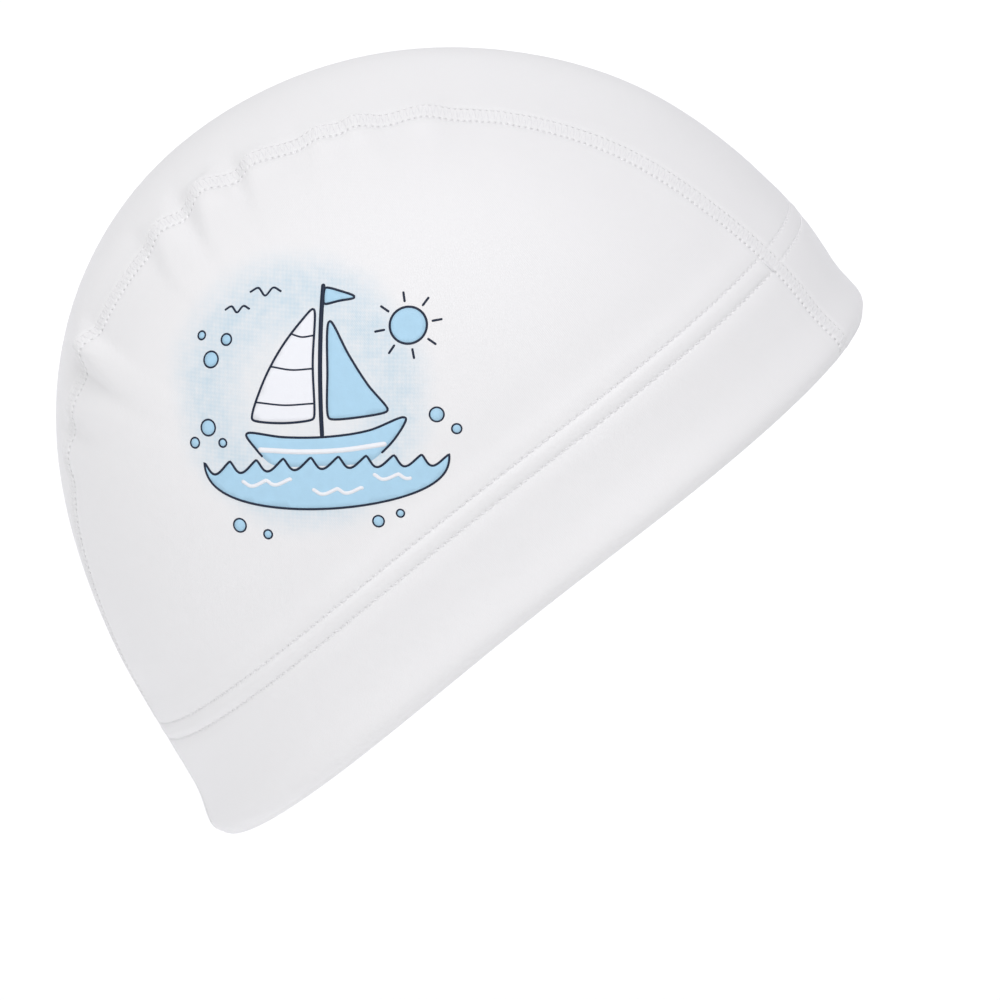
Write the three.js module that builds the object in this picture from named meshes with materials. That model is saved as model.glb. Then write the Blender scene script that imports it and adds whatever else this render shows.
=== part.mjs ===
// Fabric swim cap in its worn shape: a centre panel that runs from the forehead over the crown to the nape,
// a side panel on each side, and the two flatlock seams that join them. Each panel is turned up inside at
// the rim as a deep hem. Sizes are in millimetres, +X is the wearer's front, +Y the wearer's left, +Z up.
// The origin is where the crown's inside rests on the head.
import * as THREE from "three";

// Cloth
const WALL = 1.2;
const HEM_WALL = 2.2;
const RIM_ROLL = 0.9;

// Crown: the reach of the outside from the crown's centre along the middle line, by the angle above the front
const PROFILE = [
  { angle: -50, reach: 113.0 },
  { angle: -20, reach: 107.6 },
  { angle: 0, reach: 101.9 },
  { angle: 15, reach: 95.5 },
  { angle: 30, reach: 92.3 },
  { angle: 45, reach: 89.7 },
  { angle: 60, reach: 88.4 },
  { angle: 80, reach: 86.8 },
  { angle: 100, reach: 86.6 },
  { angle: 120, reach: 87.3 },
  { angle: 140, reach: 88.5 },
  { angle: 160, reach: 88.2 },
  { angle: 180, reach: 86.5 },
  { angle: 200, reach: 85.5 },
  { angle: 215, reach: 87.2 },
  { angle: 230, reach: 92.4 },
  { angle: 245, reach: 103.8 },
  { angle: 265, reach: 115.0 },
];
const HALF_WIDTH = 75.7;
const SHOULDER_FULLNESS = 0.027;

// Rim: a tilted plane under the crown's centre, higher over the ears
const RIM_TILT = 39.1;
const RIM_DROP = 34.4;
const RIM_SIDE_RISE = 5.4;
const RIM_FRONT_RISE = 0.4;
const RIM_FLARE = 1.5;
const RIM_FLARE_DEPTH = 11;

// Hem: two rows of stitches hold the turned-up cloth, which swells between them
const LOWER_ROW = 23.4;
const UPPER_ROW = 28.6;
const HEM_TOP = 31.5;
const HEM_RELIEF = [
  { above: 16, out: 0 },
  { above: 21, out: 0.25 },
  { above: LOWER_ROW, out: 0 },
  { above: 26, out: 0.55 },
  { above: UPPER_ROW, out: 0 },
  { above: HEM_TOP, out: -0.4 },
  { above: 37, out: -0.2 },
  { above: 44, out: 0 },
];
const HEM_LINES = [0, 1.2, 4, 9, 16, 21, LOWER_ROW, 26, UPPER_ROW, HEM_TOP];

// Seams: the distance from the middle line to each seam, by the same angle as the profile
const SEAM_LINE = [
  { angle: 16, halfWidth: 24.3 },
  { angle: 45, halfWidth: 32.0 },
  { angle: 75, halfWidth: 31.2 },
  { angle: 105, halfWidth: 32.1 },
  { angle: 140, halfWidth: 30.7 },
  { angle: 180, halfWidth: 24.3 },
  { angle: 238, halfWidth: 15.0 },
];
const SEAM_HALF_WIDTH = 1.8;
const SEAM_LIFT = 0.35;
const SEAM_EXTRA_WALL = 0.55;
const PIECE_GAP = 0.3;

// Puckers where the seam draws the cloth in: crests lift the seam, dents run off it into the side panel
const PUCKERS = [
  { angle: 86, lift: 0.7, halfAngle: 3.2, reach: 7 },
  { angle: 92.5, lift: 1.1, halfAngle: 3.4, reach: 9 },
  { angle: 102.5, lift: 1.2, halfAngle: 4.2, reach: 11 },
  { angle: 113, lift: 1.2, halfAngle: 4.4, reach: 11 },
  { angle: 121, lift: 1.0, halfAngle: 3.6, reach: 10 },
  { angle: 129.5, lift: 1.3, halfAngle: 3.6, reach: 9 },
  { angle: 133.5, lift: -1.1, halfAngle: 2.8, reach: 17 },
  { angle: 138, lift: 1.1, halfAngle: 3.4, reach: 9 },
  { angle: 142.5, lift: -0.9, halfAngle: 2.8, reach: 14 },
  { angle: 161.5, lift: 1.2, halfAngle: 3.8, reach: 9 },
  { angle: 166.5, lift: -1.6, halfAngle: 3.2, reach: 19 },
  { angle: 171, lift: 1.3, halfAngle: 3.4, reach: 9 },
  { angle: 174.8, lift: -1.1, halfAngle: 2.6, reach: 15 },
  { angle: 178.5, lift: 1.2, halfAngle: 3.0, reach: 8 },
  { angle: 184, lift: -0.7, halfAngle: 3.4, reach: 13 },
];
const LEFT_PUCKER_SHIFT = -3.5;
const CENTRE_PUCKER_SHARE = 0.6;

// Mesh: columns along each row, from the hem up to the seam and across the centre panel
const SIDE_ROWS = [
  { rise: 0, columns: 38 },
  { rise: 0.2, columns: 38 },
  { rise: 0.4, columns: 38 },
  { rise: 0.58, columns: 42 },
  { rise: 0.72, columns: 50 },
  { rise: 0.83, columns: 66 },
  { rise: 0.9, columns: 84 },
  { rise: 0.955, columns: 84 },
  { rise: 1, columns: 84 },
];
const CENTRE_ROWS = [
  { across: -1, columns: 84 },
  { across: -0.8, columns: 84 },
  { across: -0.45, columns: 50 },
  { across: 0, columns: 42 },
  { across: 0.45, columns: 50 },
  { across: 0.8, columns: 84 },
  { across: 1, columns: 84 },
];
const SEAM_COLUMNS = 84;
const HALVINGS = 34;
const MERIDIAN_STEPS = 48;

const CLOTH_COLOUR = "#eef0f4";
const CLOTH_ROUGHNESS = 0.55;

const toRadians = THREE.MathUtils.degToRad;
const toDegrees = THREE.MathUtils.radToDeg;
const mix = THREE.MathUtils.lerp;

/** A smooth curve through a table's rows: the natural cubic spline of one column over another. */
function smoothTable(rows, atName, valueName) {
  const at = rows.map((row) => row[atName]);
  const value = rows.map((row) => row[valueName]);
  const last = rows.length - 1;
  const bend = new Array(rows.length).fill(0);
  const carry = new Array(rows.length).fill(0);
  for (let i = 1; i < last; i++) {
    const before = at[i] - at[i - 1];
    const after = at[i + 1] - at[i];
    const turn = (value[i + 1] - value[i]) / after - (value[i] - value[i - 1]) / before;
    const pivot = 2 * (before + after) - before * carry[i - 1];
    carry[i] = after / pivot;
    bend[i] = (6 * turn - before * bend[i - 1]) / pivot;
  }
  for (let i = last - 1; i > 0; i--) {
    bend[i] -= carry[i] * bend[i + 1];
  }
  return (x) => {
    const here = THREE.MathUtils.clamp(x, at[0], at[last]);
    let i = 0;
    while (i < last - 1 && here > at[i + 1]) {
      i++;
    }
    const width = at[i + 1] - at[i];
    const left = (at[i + 1] - here) / width;
    const right = 1 - left;
    const curve = ((left ** 3 - left) * bend[i] + (right ** 3 - right) * bend[i + 1]) * (width ** 2 / 6);
    return left * value[i] + right * value[i + 1] + curve;
  };
}

/** The profile table run round past both its ends, so that the curve closes on itself. */
function closedRows(rows) {
  const turned = (turn) => rows.map((row) => ({ angle: row.angle + turn, reach: row.reach }));
  return [...turned(-360), ...rows, ...turned(360)];
}

const profileReach = smoothTable(closedRows(PROFILE), "angle", "reach");
const seamHalfWidth = smoothTable(SEAM_LINE, "angle", "halfWidth");

const TILT = toRadians(RIM_TILT);
const RIM_FORWARD = new THREE.Vector3(Math.cos(TILT), 0, Math.sin(TILT));
const RIM_LEFT = new THREE.Vector3(0, 1, 0);
const RIM_POLE = new THREE.Vector3(-Math.sin(TILT), 0, Math.cos(TILT));

const CROWN_CENTRE = new THREE.Vector3(0, 0, WALL - profileReach(90));

/** The angle above the front, in degrees, at which a direction or point stands over the middle line. */
function sagittalAngle(p) {
  return (toDegrees(Math.atan2(p.z, p.x)) + 360 + 60) % 360 - 60;
}

/** How far the smooth crown reaches from its centre in a unit direction. */
function crownReach(n) {
  const sideways = n.y * n.y;
  const reach = profileReach(sagittalAngle(n));
  const round = 1 / Math.sqrt((1 - sideways) / reach ** 2 + sideways / HALF_WIDTH ** 2);
  return round * (1 + SHOULDER_FULLNESS * 4 * sideways * (1 - sideways));
}

/** The smooth crown's point in a direction, measured from the crown's centre. */
function crownPoint(direction) {
  const n = direction.clone().normalize();
  return n.multiplyScalar(crownReach(n));
}

/** The smooth crown's outward normal in a direction. */
function crownNormal(direction) {
  const step = 1e-3;
  const n = direction.clone().normalize();
  const aside = new THREE.Vector3(0, 1, 0).cross(n).normalize();
  const along = n.clone().cross(aside);
  const tangent = (axis) =>
    crownPoint(n.clone().addScaledVector(axis, step)).sub(crownPoint(n.clone().addScaledVector(axis, -step)));
  const normal = tangent(aside).cross(tangent(along)).normalize();
  return normal.dot(n) < 0 ? normal.negate() : normal;
}

/** The direction at a longitude round the rim's pole and a latitude above the plane of its centre. */
function rimDirection(longitude, latitude) {
  const out = RIM_FORWARD.clone().multiplyScalar(Math.cos(longitude));
  out.addScaledVector(RIM_LEFT, Math.sin(longitude));
  return out.multiplyScalar(Math.cos(latitude)).addScaledVector(RIM_POLE, Math.sin(latitude));
}

/** The value in a range at which a rising measure meets a target. */
function solveRising(low, high, target, measure) {
  let [from, to] = [low, high];
  for (let i = 0; i < HALVINGS; i++) {
    const middle = (from + to) / 2;
    if (measure(middle) < target) {
      from = middle;
    } else {
      to = middle;
    }
  }
  return (from + to) / 2;
}

const LOWEST_LATITUDE = toRadians(-55);
const HIGHEST_LATITUDE = toRadians(75);

/** The latitude of the rim at a longitude. */
function rimLatitude(longitude) {
  const height = -RIM_DROP + RIM_SIDE_RISE * Math.sin(longitude) ** 2 + RIM_FRONT_RISE * Math.cos(longitude);
  return solveRising(LOWEST_LATITUDE, 0, height, (latitude) =>
    crownPoint(rimDirection(longitude, latitude)).dot(RIM_POLE),
  );
}

/** The length of cloth between the rim and a latitude at one longitude. */
function heightAboveRim(longitude, latitude) {
  const start = rimLatitude(longitude);
  let length = 0;
  let before = crownPoint(rimDirection(longitude, start));
  for (let i = 1; i <= MERIDIAN_STEPS; i++) {
    const here = crownPoint(rimDirection(longitude, mix(start, latitude, i / MERIDIAN_STEPS)));
    length += here.distanceTo(before);
    before = here;
  }
  return latitude < start ? -length : length;
}

/** The length of cloth between the rim and a direction, up its own meridian. */
function aboveRim(direction) {
  const n = direction.clone().normalize();
  const longitude = Math.atan2(n.dot(RIM_LEFT), n.dot(RIM_FORWARD));
  return heightAboveRim(longitude, Math.asin(n.dot(RIM_POLE)));
}

/** The direction at a longitude and a length of cloth above the rim. */
function hemDirection(longitude, above) {
  const latitude = solveRising(rimLatitude(longitude), HIGHEST_LATITUDE, above, (here) =>
    heightAboveRim(longitude, here),
  );
  return rimDirection(longitude, latitude);
}

/** The direction at an angle over the middle line and a distance to one side of it. */
function bandDirection(angle, sideways) {
  const turn = toRadians(angle);
  const towards = (tilt) =>
    new THREE.Vector3(Math.cos(tilt) * Math.cos(turn), Math.sin(tilt), Math.cos(tilt) * Math.sin(turn));
  const tilt = solveRising(-1, 1, sideways, (here) => crownPoint(towards(here)).y);
  return towards(tilt);
}

/** The direction beside a seam: side is 1 for the left seam, and away is measured off its centre line. */
function seamDirection(angle, side, away) {
  return bandDirection(angle, side * (seamHalfWidth(angle) + away));
}

const FRONT_ANGLES = [5, 75];
const BACK_ANGLES = [175, 252];

/** The angle at which a line along the cap crosses a height above the rim, at the front or at the back. */
function crossing(line, above, atFront) {
  const [low, high] = atFront ? FRONT_ANGLES : BACK_ANGLES;
  return atFront
    ? solveRising(low, high, above, (angle) => aboveRim(line(angle)))
    : solveRising(low, high, -above, (angle) => -aboveRim(line(angle)));
}

/** A bump of one unit that falls smoothly to nothing at plus and minus one. */
function bump(x) {
  return Math.abs(x) < 1 ? Math.cos((x * Math.PI) / 2) ** 2 : 0;
}

/** The lift of the puckers at a direction. */
function puckerLift(n) {
  const point = crownPoint(n);
  const side = Math.sign(point.y);
  const angle = sagittalAngle(point) - (side > 0 ? LEFT_PUCKER_SHIFT : 0);
  const away = Math.abs(point.y) - seamHalfWidth(sagittalAngle(point));
  return PUCKERS.reduce((lift, pucker) => {
    const reach = pucker.reach * (away < 0 ? CENTRE_PUCKER_SHARE : 1) * 2;
    return lift + pucker.lift * bump((angle - pucker.angle) / (2 * pucker.halfAngle)) * bump(away / reach);
  }, 0);
}

/** The relief of the rim and hem at a height above the rim. */
function hemLift(above) {
  const flare = RIM_FLARE * Math.max(0, 1 - Math.max(0, above) / RIM_FLARE_DEPTH) ** 2;
  const next = HEM_RELIEF.findIndex((row) => row.above > above);
  if (next <= 0) {
    return flare;
  }
  const [from, to] = [HEM_RELIEF[next - 1], HEM_RELIEF[next]];
  return flare + mix(from.out, to.out, THREE.MathUtils.smoothstep(above, from.above, to.above));
}

/** The cloth's thickness at a height above the rim: double where the hem is turned up. */
function wallAt(above) {
  return mix(HEM_WALL, WALL, THREE.MathUtils.smoothstep(above, UPPER_ROW, HEM_TOP));
}

/**
 * One station of a piece of cloth: its place along the row, and its points on the outside, on the inside
 * and, at the rim, on the fold between them.
 */
function station(along, direction, piece) {
  const n = direction.clone().normalize();
  const above = aboveRim(n);
  const normal = crownNormal(n);
  const lift = puckerLift(n) + hemLift(above) + piece.lift;
  const outer = crownPoint(n).addScaledVector(normal, lift).add(CROWN_CENTRE);
  const inner = outer.clone().addScaledVector(normal, -wallAt(above) - piece.extraWall);
  const atRim = above < HEM_LINES[1] / 2;
  if (!atRim) {
    return { along, outer, inner };
  }
  const down = RIM_POLE.clone().addScaledVector(normal, -RIM_POLE.dot(normal)).normalize().negate();
  const fold = outer.clone().lerp(inner, 0.5).addScaledVector(down, RIM_ROLL);
  return { along, outer, inner, fold };
}

/** Collects points and faces, giving equal points one number and leaving out faces with no area. */
class Skin {
  constructor() {
    this.points = [];
    this.faces = [];
    this.numbers = new Map();
  }

  number(point) {
    const key = point.toArray().map((c) => c.toFixed(4)).join();
    if (!this.numbers.has(key)) {
      this.numbers.set(key, this.numbers.size);
      this.points.push(...point.toArray());
    }
    return this.numbers.get(key);
  }

  face(a, b, c) {
    const [i, j, k] = [a, b, c].map((point) => this.number(point));
    if (i !== j && j !== k && k !== i) {
      this.faces.push(i, j, k);
    }
  }

  /** Joins two rows of points, each with its place along the row, by one band of triangles. */
  band(low, high) {
    let [i, j] = [0, 0];
    while (i < low.length - 1 || j < high.length - 1) {
      const lowNext = i < low.length - 1 ? low[i + 1].along : Infinity;
      const highNext = j < high.length - 1 ? high[j + 1].along : Infinity;
      if (lowNext <= highNext) {
        this.face(low[i].point, low[i + 1].point, high[j].point);
        i++;
      } else {
        this.face(low[i].point, high[j + 1].point, high[j].point);
        j++;
      }
    }
  }

  geometry() {
    const made = new THREE.BufferGeometry();
    made.setAttribute("position", new THREE.Float32BufferAttribute(this.points, 3));
    made.setIndex(this.faces);
    made.computeVertexNormals();
    return made;
  }
}

/** The stations round the free edge of a piece, in order. */
function freeEdge(rows) {
  const last = rows.length - 1;
  const ends = rows.slice(1, last).map((row) => row[row.length - 1]);
  const starts = rows.slice(1, last).map((row) => row[0]).reverse();
  return [...rows[0], ...ends, ...[...rows[last]].reverse(), ...starts];
}

/** The points down the cut edge of the cloth at one station: outside, fold where there is one, inside. */
function edgeChain(at) {
  const chain = [{ along: 0, point: at.outer }];
  if (at.fold) {
    chain.push({ along: 0.5, point: at.fold });
  }
  chain.push({ along: 1, point: at.inner });
  return chain;
}

/** A closed piece of cloth from its rows of stations; leftward says that later rows lie further left. */
function clothMesh(name, rows, leftward) {
  const skin = new Skin();
  const pick = (row, which) => row.map((at) => ({ along: at.along, point: at[which] }));
  for (let i = 1; i < rows.length; i++) {
    const [low, high] = leftward ? [rows[i - 1], rows[i]] : [rows[i], rows[i - 1]];
    skin.band(pick(low, "outer"), pick(high, "outer"));
    skin.band(pick(high, "inner"), pick(low, "inner"));
  }
  const loop = freeEdge(rows);
  loop.forEach((at, i) => {
    const next = loop[(i + 1) % loop.length];
    const [from, to] = leftward ? [at, next] : [next, at];
    skin.band(edgeChain(from), edgeChain(to));
  });
  const cloth = new THREE.MeshStandardMaterial({ color: CLOTH_COLOUR, roughness: CLOTH_ROUGHNESS });
  const mesh = new THREE.Mesh(skin.geometry(), cloth);
  mesh.name = name;
  return mesh;
}

/** The stations of one line that runs the cap's length, from the front rim over the crown to the back rim. */
function lengthRow(line, columns, piece) {
  const top = HEM_LINES.length - 1;
  const front = HEM_LINES.map((above) => crossing(line, above, true));
  const back = HEM_LINES.map((above) => crossing(line, above, false));
  const at = (along, angle) => station(along, line(angle), piece);
  const row = front.map((angle, i) => at(i - top, angle));
  for (let k = 1; k < columns; k++) {
    row.push(at(k / columns, mix(front[top], back[top], k / columns)));
  }
  return [...row, ...back.map((angle, i) => at(1 + top - i, angle)).reverse()];
}

/** The centre panel, between the two seams. */
function centrePanel() {
  const piece = { lift: 0, extraWall: 0 };
  const edge = SEAM_HALF_WIDTH + PIECE_GAP;
  const rows = CENTRE_ROWS.map(({ across, columns }) =>
    lengthRow((angle) => bandDirection(angle, across * (seamHalfWidth(angle) - edge)), columns, piece),
  );
  return clothMesh("centre_panel", rows, false);
}

/** One flatlock seam, a raised strip that stands a little proud of the panels on both faces. */
function seamStrip(name, side) {
  const piece = { lift: SEAM_LIFT, extraWall: SEAM_EXTRA_WALL };
  const rows = [-SEAM_HALF_WIDTH, SEAM_HALF_WIDTH].map((away) =>
    lengthRow((angle) => seamDirection(angle, side, away), SEAM_COLUMNS, piece),
  );
  return clothMesh(name, rows, side < 0);
}

/** The direction a share of the way round from one direction to another. */
function turned(from, to, share) {
  const [a, b] = [from.clone().normalize(), to.clone().normalize()];
  const whole = a.angleTo(b);
  if (whole < 1e-6) {
    return a;
  }
  a.multiplyScalar(Math.sin((1 - share) * whole));
  return a.addScaledVector(b, Math.sin(share * whole)).normalize();
}

/** One side panel, from the rim up to its seam. */
function sidePanel(name, side) {
  const piece = { lift: 0, extraWall: 0 };
  const edgeLine = (angle) => seamDirection(angle, side, SEAM_HALF_WIDTH + PIECE_GAP);
  const longitudeOf = (n) => {
    const turn = Math.atan2(n.dot(RIM_LEFT), n.dot(RIM_FORWARD));
    return side > 0 ? turn : -turn;
  };
  const hemRow = (above, columns) => {
    const [front, back] = [true, false].map((atFront) => crossing(edgeLine, above, atFront));
    const ends = [front, back].map((angle) => longitudeOf(edgeLine(angle)));
    return Array.from({ length: columns + 1 }, (_, k) => {
      const corner = k === 0 ? edgeLine(front) : edgeLine(back);
      const inside = k > 0 && k < columns;
      return inside ? hemDirection(side * mix(ends[0], ends[1], k / columns), above) : corner;
    });
  };
  const front = crossing(edgeLine, HEM_TOP, true);
  const back = crossing(edgeLine, HEM_TOP, false);
  const crownRow = (rise, columns) => {
    const base = hemRow(HEM_TOP, columns);
    return base.map((low, k) => turned(low, edgeLine(mix(front, back, k / columns)), rise));
  };
  const hem = HEM_LINES.map((above) => hemRow(above, SIDE_ROWS[0].columns));
  const crown = SIDE_ROWS.slice(1).map(({ rise, columns }) => crownRow(rise, columns));
  const rows = [...hem, ...crown].map((row) =>
    row.map((direction, k) => station(k / (row.length - 1), direction, piece)),
  );
  return clothMesh(name, rows, side > 0);
}

const cap = new THREE.Group();
cap.name = "swim_cap";
cap.add(centrePanel());
cap.add(sidePanel("right_side_panel", -1), sidePanel("left_side_panel", 1));
cap.add(seamStrip("right_seam", -1), seamStrip("left_seam", 1));

export default cap;
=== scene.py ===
"""A fabric swim cap in its worn shape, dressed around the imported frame.

The cap is a centre panel, two side panels and the two flatlock seams that join them. Each panel is turned up
inside at the rim as a deep hem, which two rows of stitches hold. A small sailing boat is printed on the right
side panel. Working sizes are in millimetres, in the frame's axes: +X is the wearer's front, +Y the wearer's
left and +Z up, and the origin is where the crown's inside rests on the head.
"""

import logging
import math
from collections.abc import Callable, Sequence
from dataclasses import dataclass, field
from enum import Enum
from functools import partial

import bmesh
import bpy
import numpy as np
from mathutils import Matrix, Vector, geometry


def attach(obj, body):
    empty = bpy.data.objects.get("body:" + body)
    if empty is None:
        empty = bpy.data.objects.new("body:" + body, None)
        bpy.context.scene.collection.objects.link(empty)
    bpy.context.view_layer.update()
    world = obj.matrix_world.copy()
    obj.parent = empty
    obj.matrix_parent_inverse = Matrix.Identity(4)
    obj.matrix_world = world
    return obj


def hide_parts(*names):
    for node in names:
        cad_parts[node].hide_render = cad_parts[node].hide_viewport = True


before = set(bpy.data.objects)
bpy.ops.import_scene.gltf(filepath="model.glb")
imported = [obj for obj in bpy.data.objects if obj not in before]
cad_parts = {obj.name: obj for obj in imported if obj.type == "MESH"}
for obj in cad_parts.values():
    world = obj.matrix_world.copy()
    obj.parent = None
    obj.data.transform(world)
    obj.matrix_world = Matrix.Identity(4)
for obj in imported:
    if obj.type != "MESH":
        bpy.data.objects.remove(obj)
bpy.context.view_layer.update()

LOG = logging.getLogger("swim_cap")
Array = np.ndarray
Socket = bpy.types.NodeSocket
Pair = tuple[float, float]
Triple = tuple[float, float, float]
Colour = tuple[float, float, float, float]
MM = 0.001
BODY = "root"
# Stations lower than this, in millimetres above the rim, are on its fold.
AT_RIM = 0.1
# The scale at which a wave texture has one band to each unit.
BANDS = 0.31416


class Side(Enum):
    """The wearer's sides, with the sign of their Y."""

    RIGHT = -1
    LEFT = 1

    @property
    def label(self) -> str:
        """The side's name as pieces use it."""
        return self.name.lower()


class End(Enum):
    """The two ends of a line that runs the cap's length."""

    FRONT = (5.0, 75.0)
    BACK = (175.0, 252.0)

    @property
    def label(self) -> str:
        """The end's name as pieces use it."""
        return self.name.lower()


def unit(v: Array) -> Array:
    """The vectors, each scaled to a length of one."""
    return v / np.linalg.norm(v, axis=-1, keepdims=True)


def mix(a: Array | float, b: Array | float, share: Array | float) -> Array:
    """The value a share of the way from a to b."""
    return a + (b - a) * share


def smoothstep(x: Array, low: float, high: float) -> Array:
    """Zero below low, one above high, and a smooth rise between."""
    share = np.clip((x - low) / (high - low), 0.0, 1.0)
    return share * share * (3 - 2 * share)


def eased(x: Array, at: Array, value: Array) -> Array:
    """The value at places, eased smoothly between a table's rows.

    Args:
        x: the places.
        at: the rows' places, in order.
        value: the rows' values.

    Returns:
        The values, level at each row and beyond the ends.
    """
    i = np.clip(np.searchsorted(at, x, side="right") - 1, 0, len(at) - 2)
    share = np.clip((x - at[i]) / (at[i + 1] - at[i]), 0, 1)
    return mix(value[i], value[i + 1], share * share * (3 - 2 * share))


def bump(x: Array) -> Array:
    """A bump of one unit that falls smoothly to nothing at plus and minus one."""
    return np.where(np.abs(x) < 1, np.cos(np.clip(x, -1, 1) * math.pi / 2) ** 2, 0.0)


def lookup(table: Array, row: Array, column: Array) -> Array:
    """The value between a table's entries.

    Args:
        table: values on a grid of rows and columns.
        row: where to read, in rows, whole or between two.
        column: where to read, in columns.

    Returns:
        The values, blended from the four entries round each place.
    """
    i = np.clip(np.floor(row).astype(int), 0, table.shape[0] - 2)
    j = np.clip(np.floor(column).astype(int), 0, table.shape[1] - 2)
    down, over = np.clip(row - i, 0, 1), np.clip(column - j, 0, 1)
    near = mix(table[i, j], table[i, j + 1], over)
    far = mix(table[i + 1, j], table[i + 1, j + 1], over)
    return mix(near, far, down)


def smooth_table(rows: Sequence[Pair]) -> Callable[[Array], Array]:
    """A smooth curve through a table's rows.

    Args:
        rows: pairs of a place and the value there, in order of place.

    Returns:
        A function that gives the natural cubic spline's value at any places.
    """
    at, value = np.array(rows, float).T
    width = np.diff(at)
    slope = np.diff(value) / width
    system, turn = np.eye(len(at)), np.zeros(len(at))
    for i in range(1, len(at) - 1):
        system[i, i - 1 : i + 2] = width[i - 1], 2 * (width[i - 1] + width[i]), width[i]
        turn[i] = 6 * (slope[i] - slope[i - 1])
    bend = np.linalg.solve(system, turn)

    def curve(x: Array) -> Array:
        """The curve's value at each place, held level beyond the table's ends.

        Args:
            x: the places.

        Returns:
            The values.
        """
        here = np.clip(x, at[0], at[-1])
        i = np.clip(np.searchsorted(at, here, side="right") - 1, 0, len(at) - 2)
        left = (at[i + 1] - here) / width[i]
        right = 1 - left
        arch = ((left**3 - left) * bend[i] + (right**3 - right) * bend[i + 1]) * width[i] ** 2 / 6
        return left * value[i] + right * value[i + 1] + arch

    return curve


@dataclass
class CapForm:
    """The cap's worn shape, as the reach of its outside from the crown's centre in every direction.

    Angles are over the middle line, in degrees above the front. Longitudes turn round the rim's pole, and
    latitudes rise towards it. Heights above the rim are lengths of cloth.

    Attributes:
        hem_wall: the thickness of the turned-up hem, which is two layers.
        rim_roll: how far the rounded fold reaches below the rim.
        profile: the reach over the middle line, by angle.
        shoulder_fullness: the share by which the crown is fuller between its top and its sides.
        rim_tilt: the slope of the rim's plane, in degrees.
        rim_drop: how far that plane lies below the crown's centre.
        rim_side_rise: how much higher the rim runs over the ears.
        rim_front_rise: how much higher it runs at the front, and lower at the back.
        rim_relief: the lift of the flared rim, by height.
        hem_relief: the lift of the hem between its rows of stitches, by height.
        hem_opening: how far off the seam that relief begins and is full.
        seam_line: the seam's distance from the middle of the cap, by angle.
        puckers: the seam's puckers, each as its angle, its lift and its reach off the seam.
        left_pucker_shift: degrees by which the left seam's puckers lie further on.
        centre_pucker_share: the puckers' reach on the centre panel, as a share of that on the side.
        bead_place: how far off the seam the panel's swollen edge lies.
        tuck_place: how far off the seam the panel's edge is drawn in.
        mean_reach: a round figure for the reach, for lengths on the cloth.
        longitude_step: the degrees between the longitudes at which heights are tabled.
    """

    wall: float = 1.2
    hem_wall: float = 2.2
    rim_roll: float = 0.9
    profile: tuple[Pair, ...] = (
        (-50, 113.0), (-20, 107.6), (0, 101.9), (15, 95.5), (30, 92.3), (45, 89.7), (60, 88.4),
        (80, 86.8), (100, 86.6), (120, 87.3), (140, 88.5), (160, 88.2), (180, 86.5), (200, 85.5),
        (215, 87.2), (230, 92.4), (245, 103.8), (265, 115.0),
    )  # fmt: skip
    half_width: float = 75.7
    shoulder_fullness: float = 0.027
    rim_tilt: float = 39.1
    rim_drop: float = 34.4
    rim_side_rise: float = 5.4
    rim_front_rise: float = 0.4
    rim_relief: tuple[Pair, ...] = (
        (0, 0.6), (1.0, 1.35), (2.2, 1.7), (4.0, 1.5), (6.2, 0.95), (9, 0.32), (12, 0.0),
    )  # fmt: skip
    lower_row: float = 24.0
    upper_row: float = 28.15
    hem_top: float = 31.5
    hem_relief: tuple[Pair, ...] = (
        (16, 0.0), (21.4, 0.3), (24, -0.02), (26.1, 0.58), (28.15, -0.06), (30.4, 0.1), (35, -0.4), (44, 0.0),
    )  # fmt: skip
    hem_opening: Pair = (2.05, 5.0)
    seam_line: tuple[Pair, ...] = (
        (16, 25.9), (45, 31.8), (60, 32.2), (75, 32.0), (90, 31.6), (105, 32.1), (140, 30.7), (180, 24.3),
        (238, 15.0),
    )  # fmt: skip
    puckers: tuple[Triple, ...] = (
        (80, 0.0, 6), (88, -0.4, 8), (93.3, 0.85, 6), (99.5, -0.6, 9), (104.3, 1.05, 6), (107, 0.0, 6),
        (110, 0.75, 6), (114, -0.6, 9), (121.5, 1.15, 6), (124.8, -1.05, 11), (130.2, 2.05, 7),
        (135, -1.25, 13), (139.3, 0.7, 6), (144, -1.4, 14), (157.8, -1.4, 15), (161.4, 1.95, 10),
        (165.5, -1.5, 16), (171.4, 0.3, 7), (174.6, -0.9, 11), (178.4, 0.6, 7), (183.5, -0.6, 10),
        (190, 0.0, 8),
    )  # fmt: skip
    left_pucker_shift: float = -3.5
    centre_pucker_share: float = 0.6
    centre_hem_share: float = 0.25
    bead_place: float = 3.5
    bead_reach: float = 3.2
    bead_lift: float = 0.14
    tuck_place: float = 1.95
    tuck_reach: float = 1.2
    tuck_depth: float = 0.16
    mean_reach: float = 87.0
    longitude_step: float = 0.5
    latitude_step: float = 0.25
    lowest_latitude: float = -55.0
    table_top: float = 60.0
    table_rows: int = 601
    line_rounds: int = 12

    def __post_init__(self) -> None:
        """Makes the curves and the table of lengths up each meridian."""
        self.rim_lift = smooth_table(self.rim_relief)
        turned = [(angle + turn, reach) for turn in (-360, 0, 360) for angle, reach in self.profile]
        self.profile_reach = smooth_table(turned)
        self.seam_half_width = smooth_table(self.seam_line)
        tilt = math.radians(self.rim_tilt)
        self.forward = np.array([math.cos(tilt), 0.0, math.sin(tilt)])
        self.leftward = np.array([0.0, 1.0, 0.0])
        self.pole = np.array([-math.sin(tilt), 0.0, math.cos(tilt)])
        self.centre = np.array([0.0, 0.0, self.wall - float(self.profile_reach(90.0))])
        self._measure_meridians()

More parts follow.
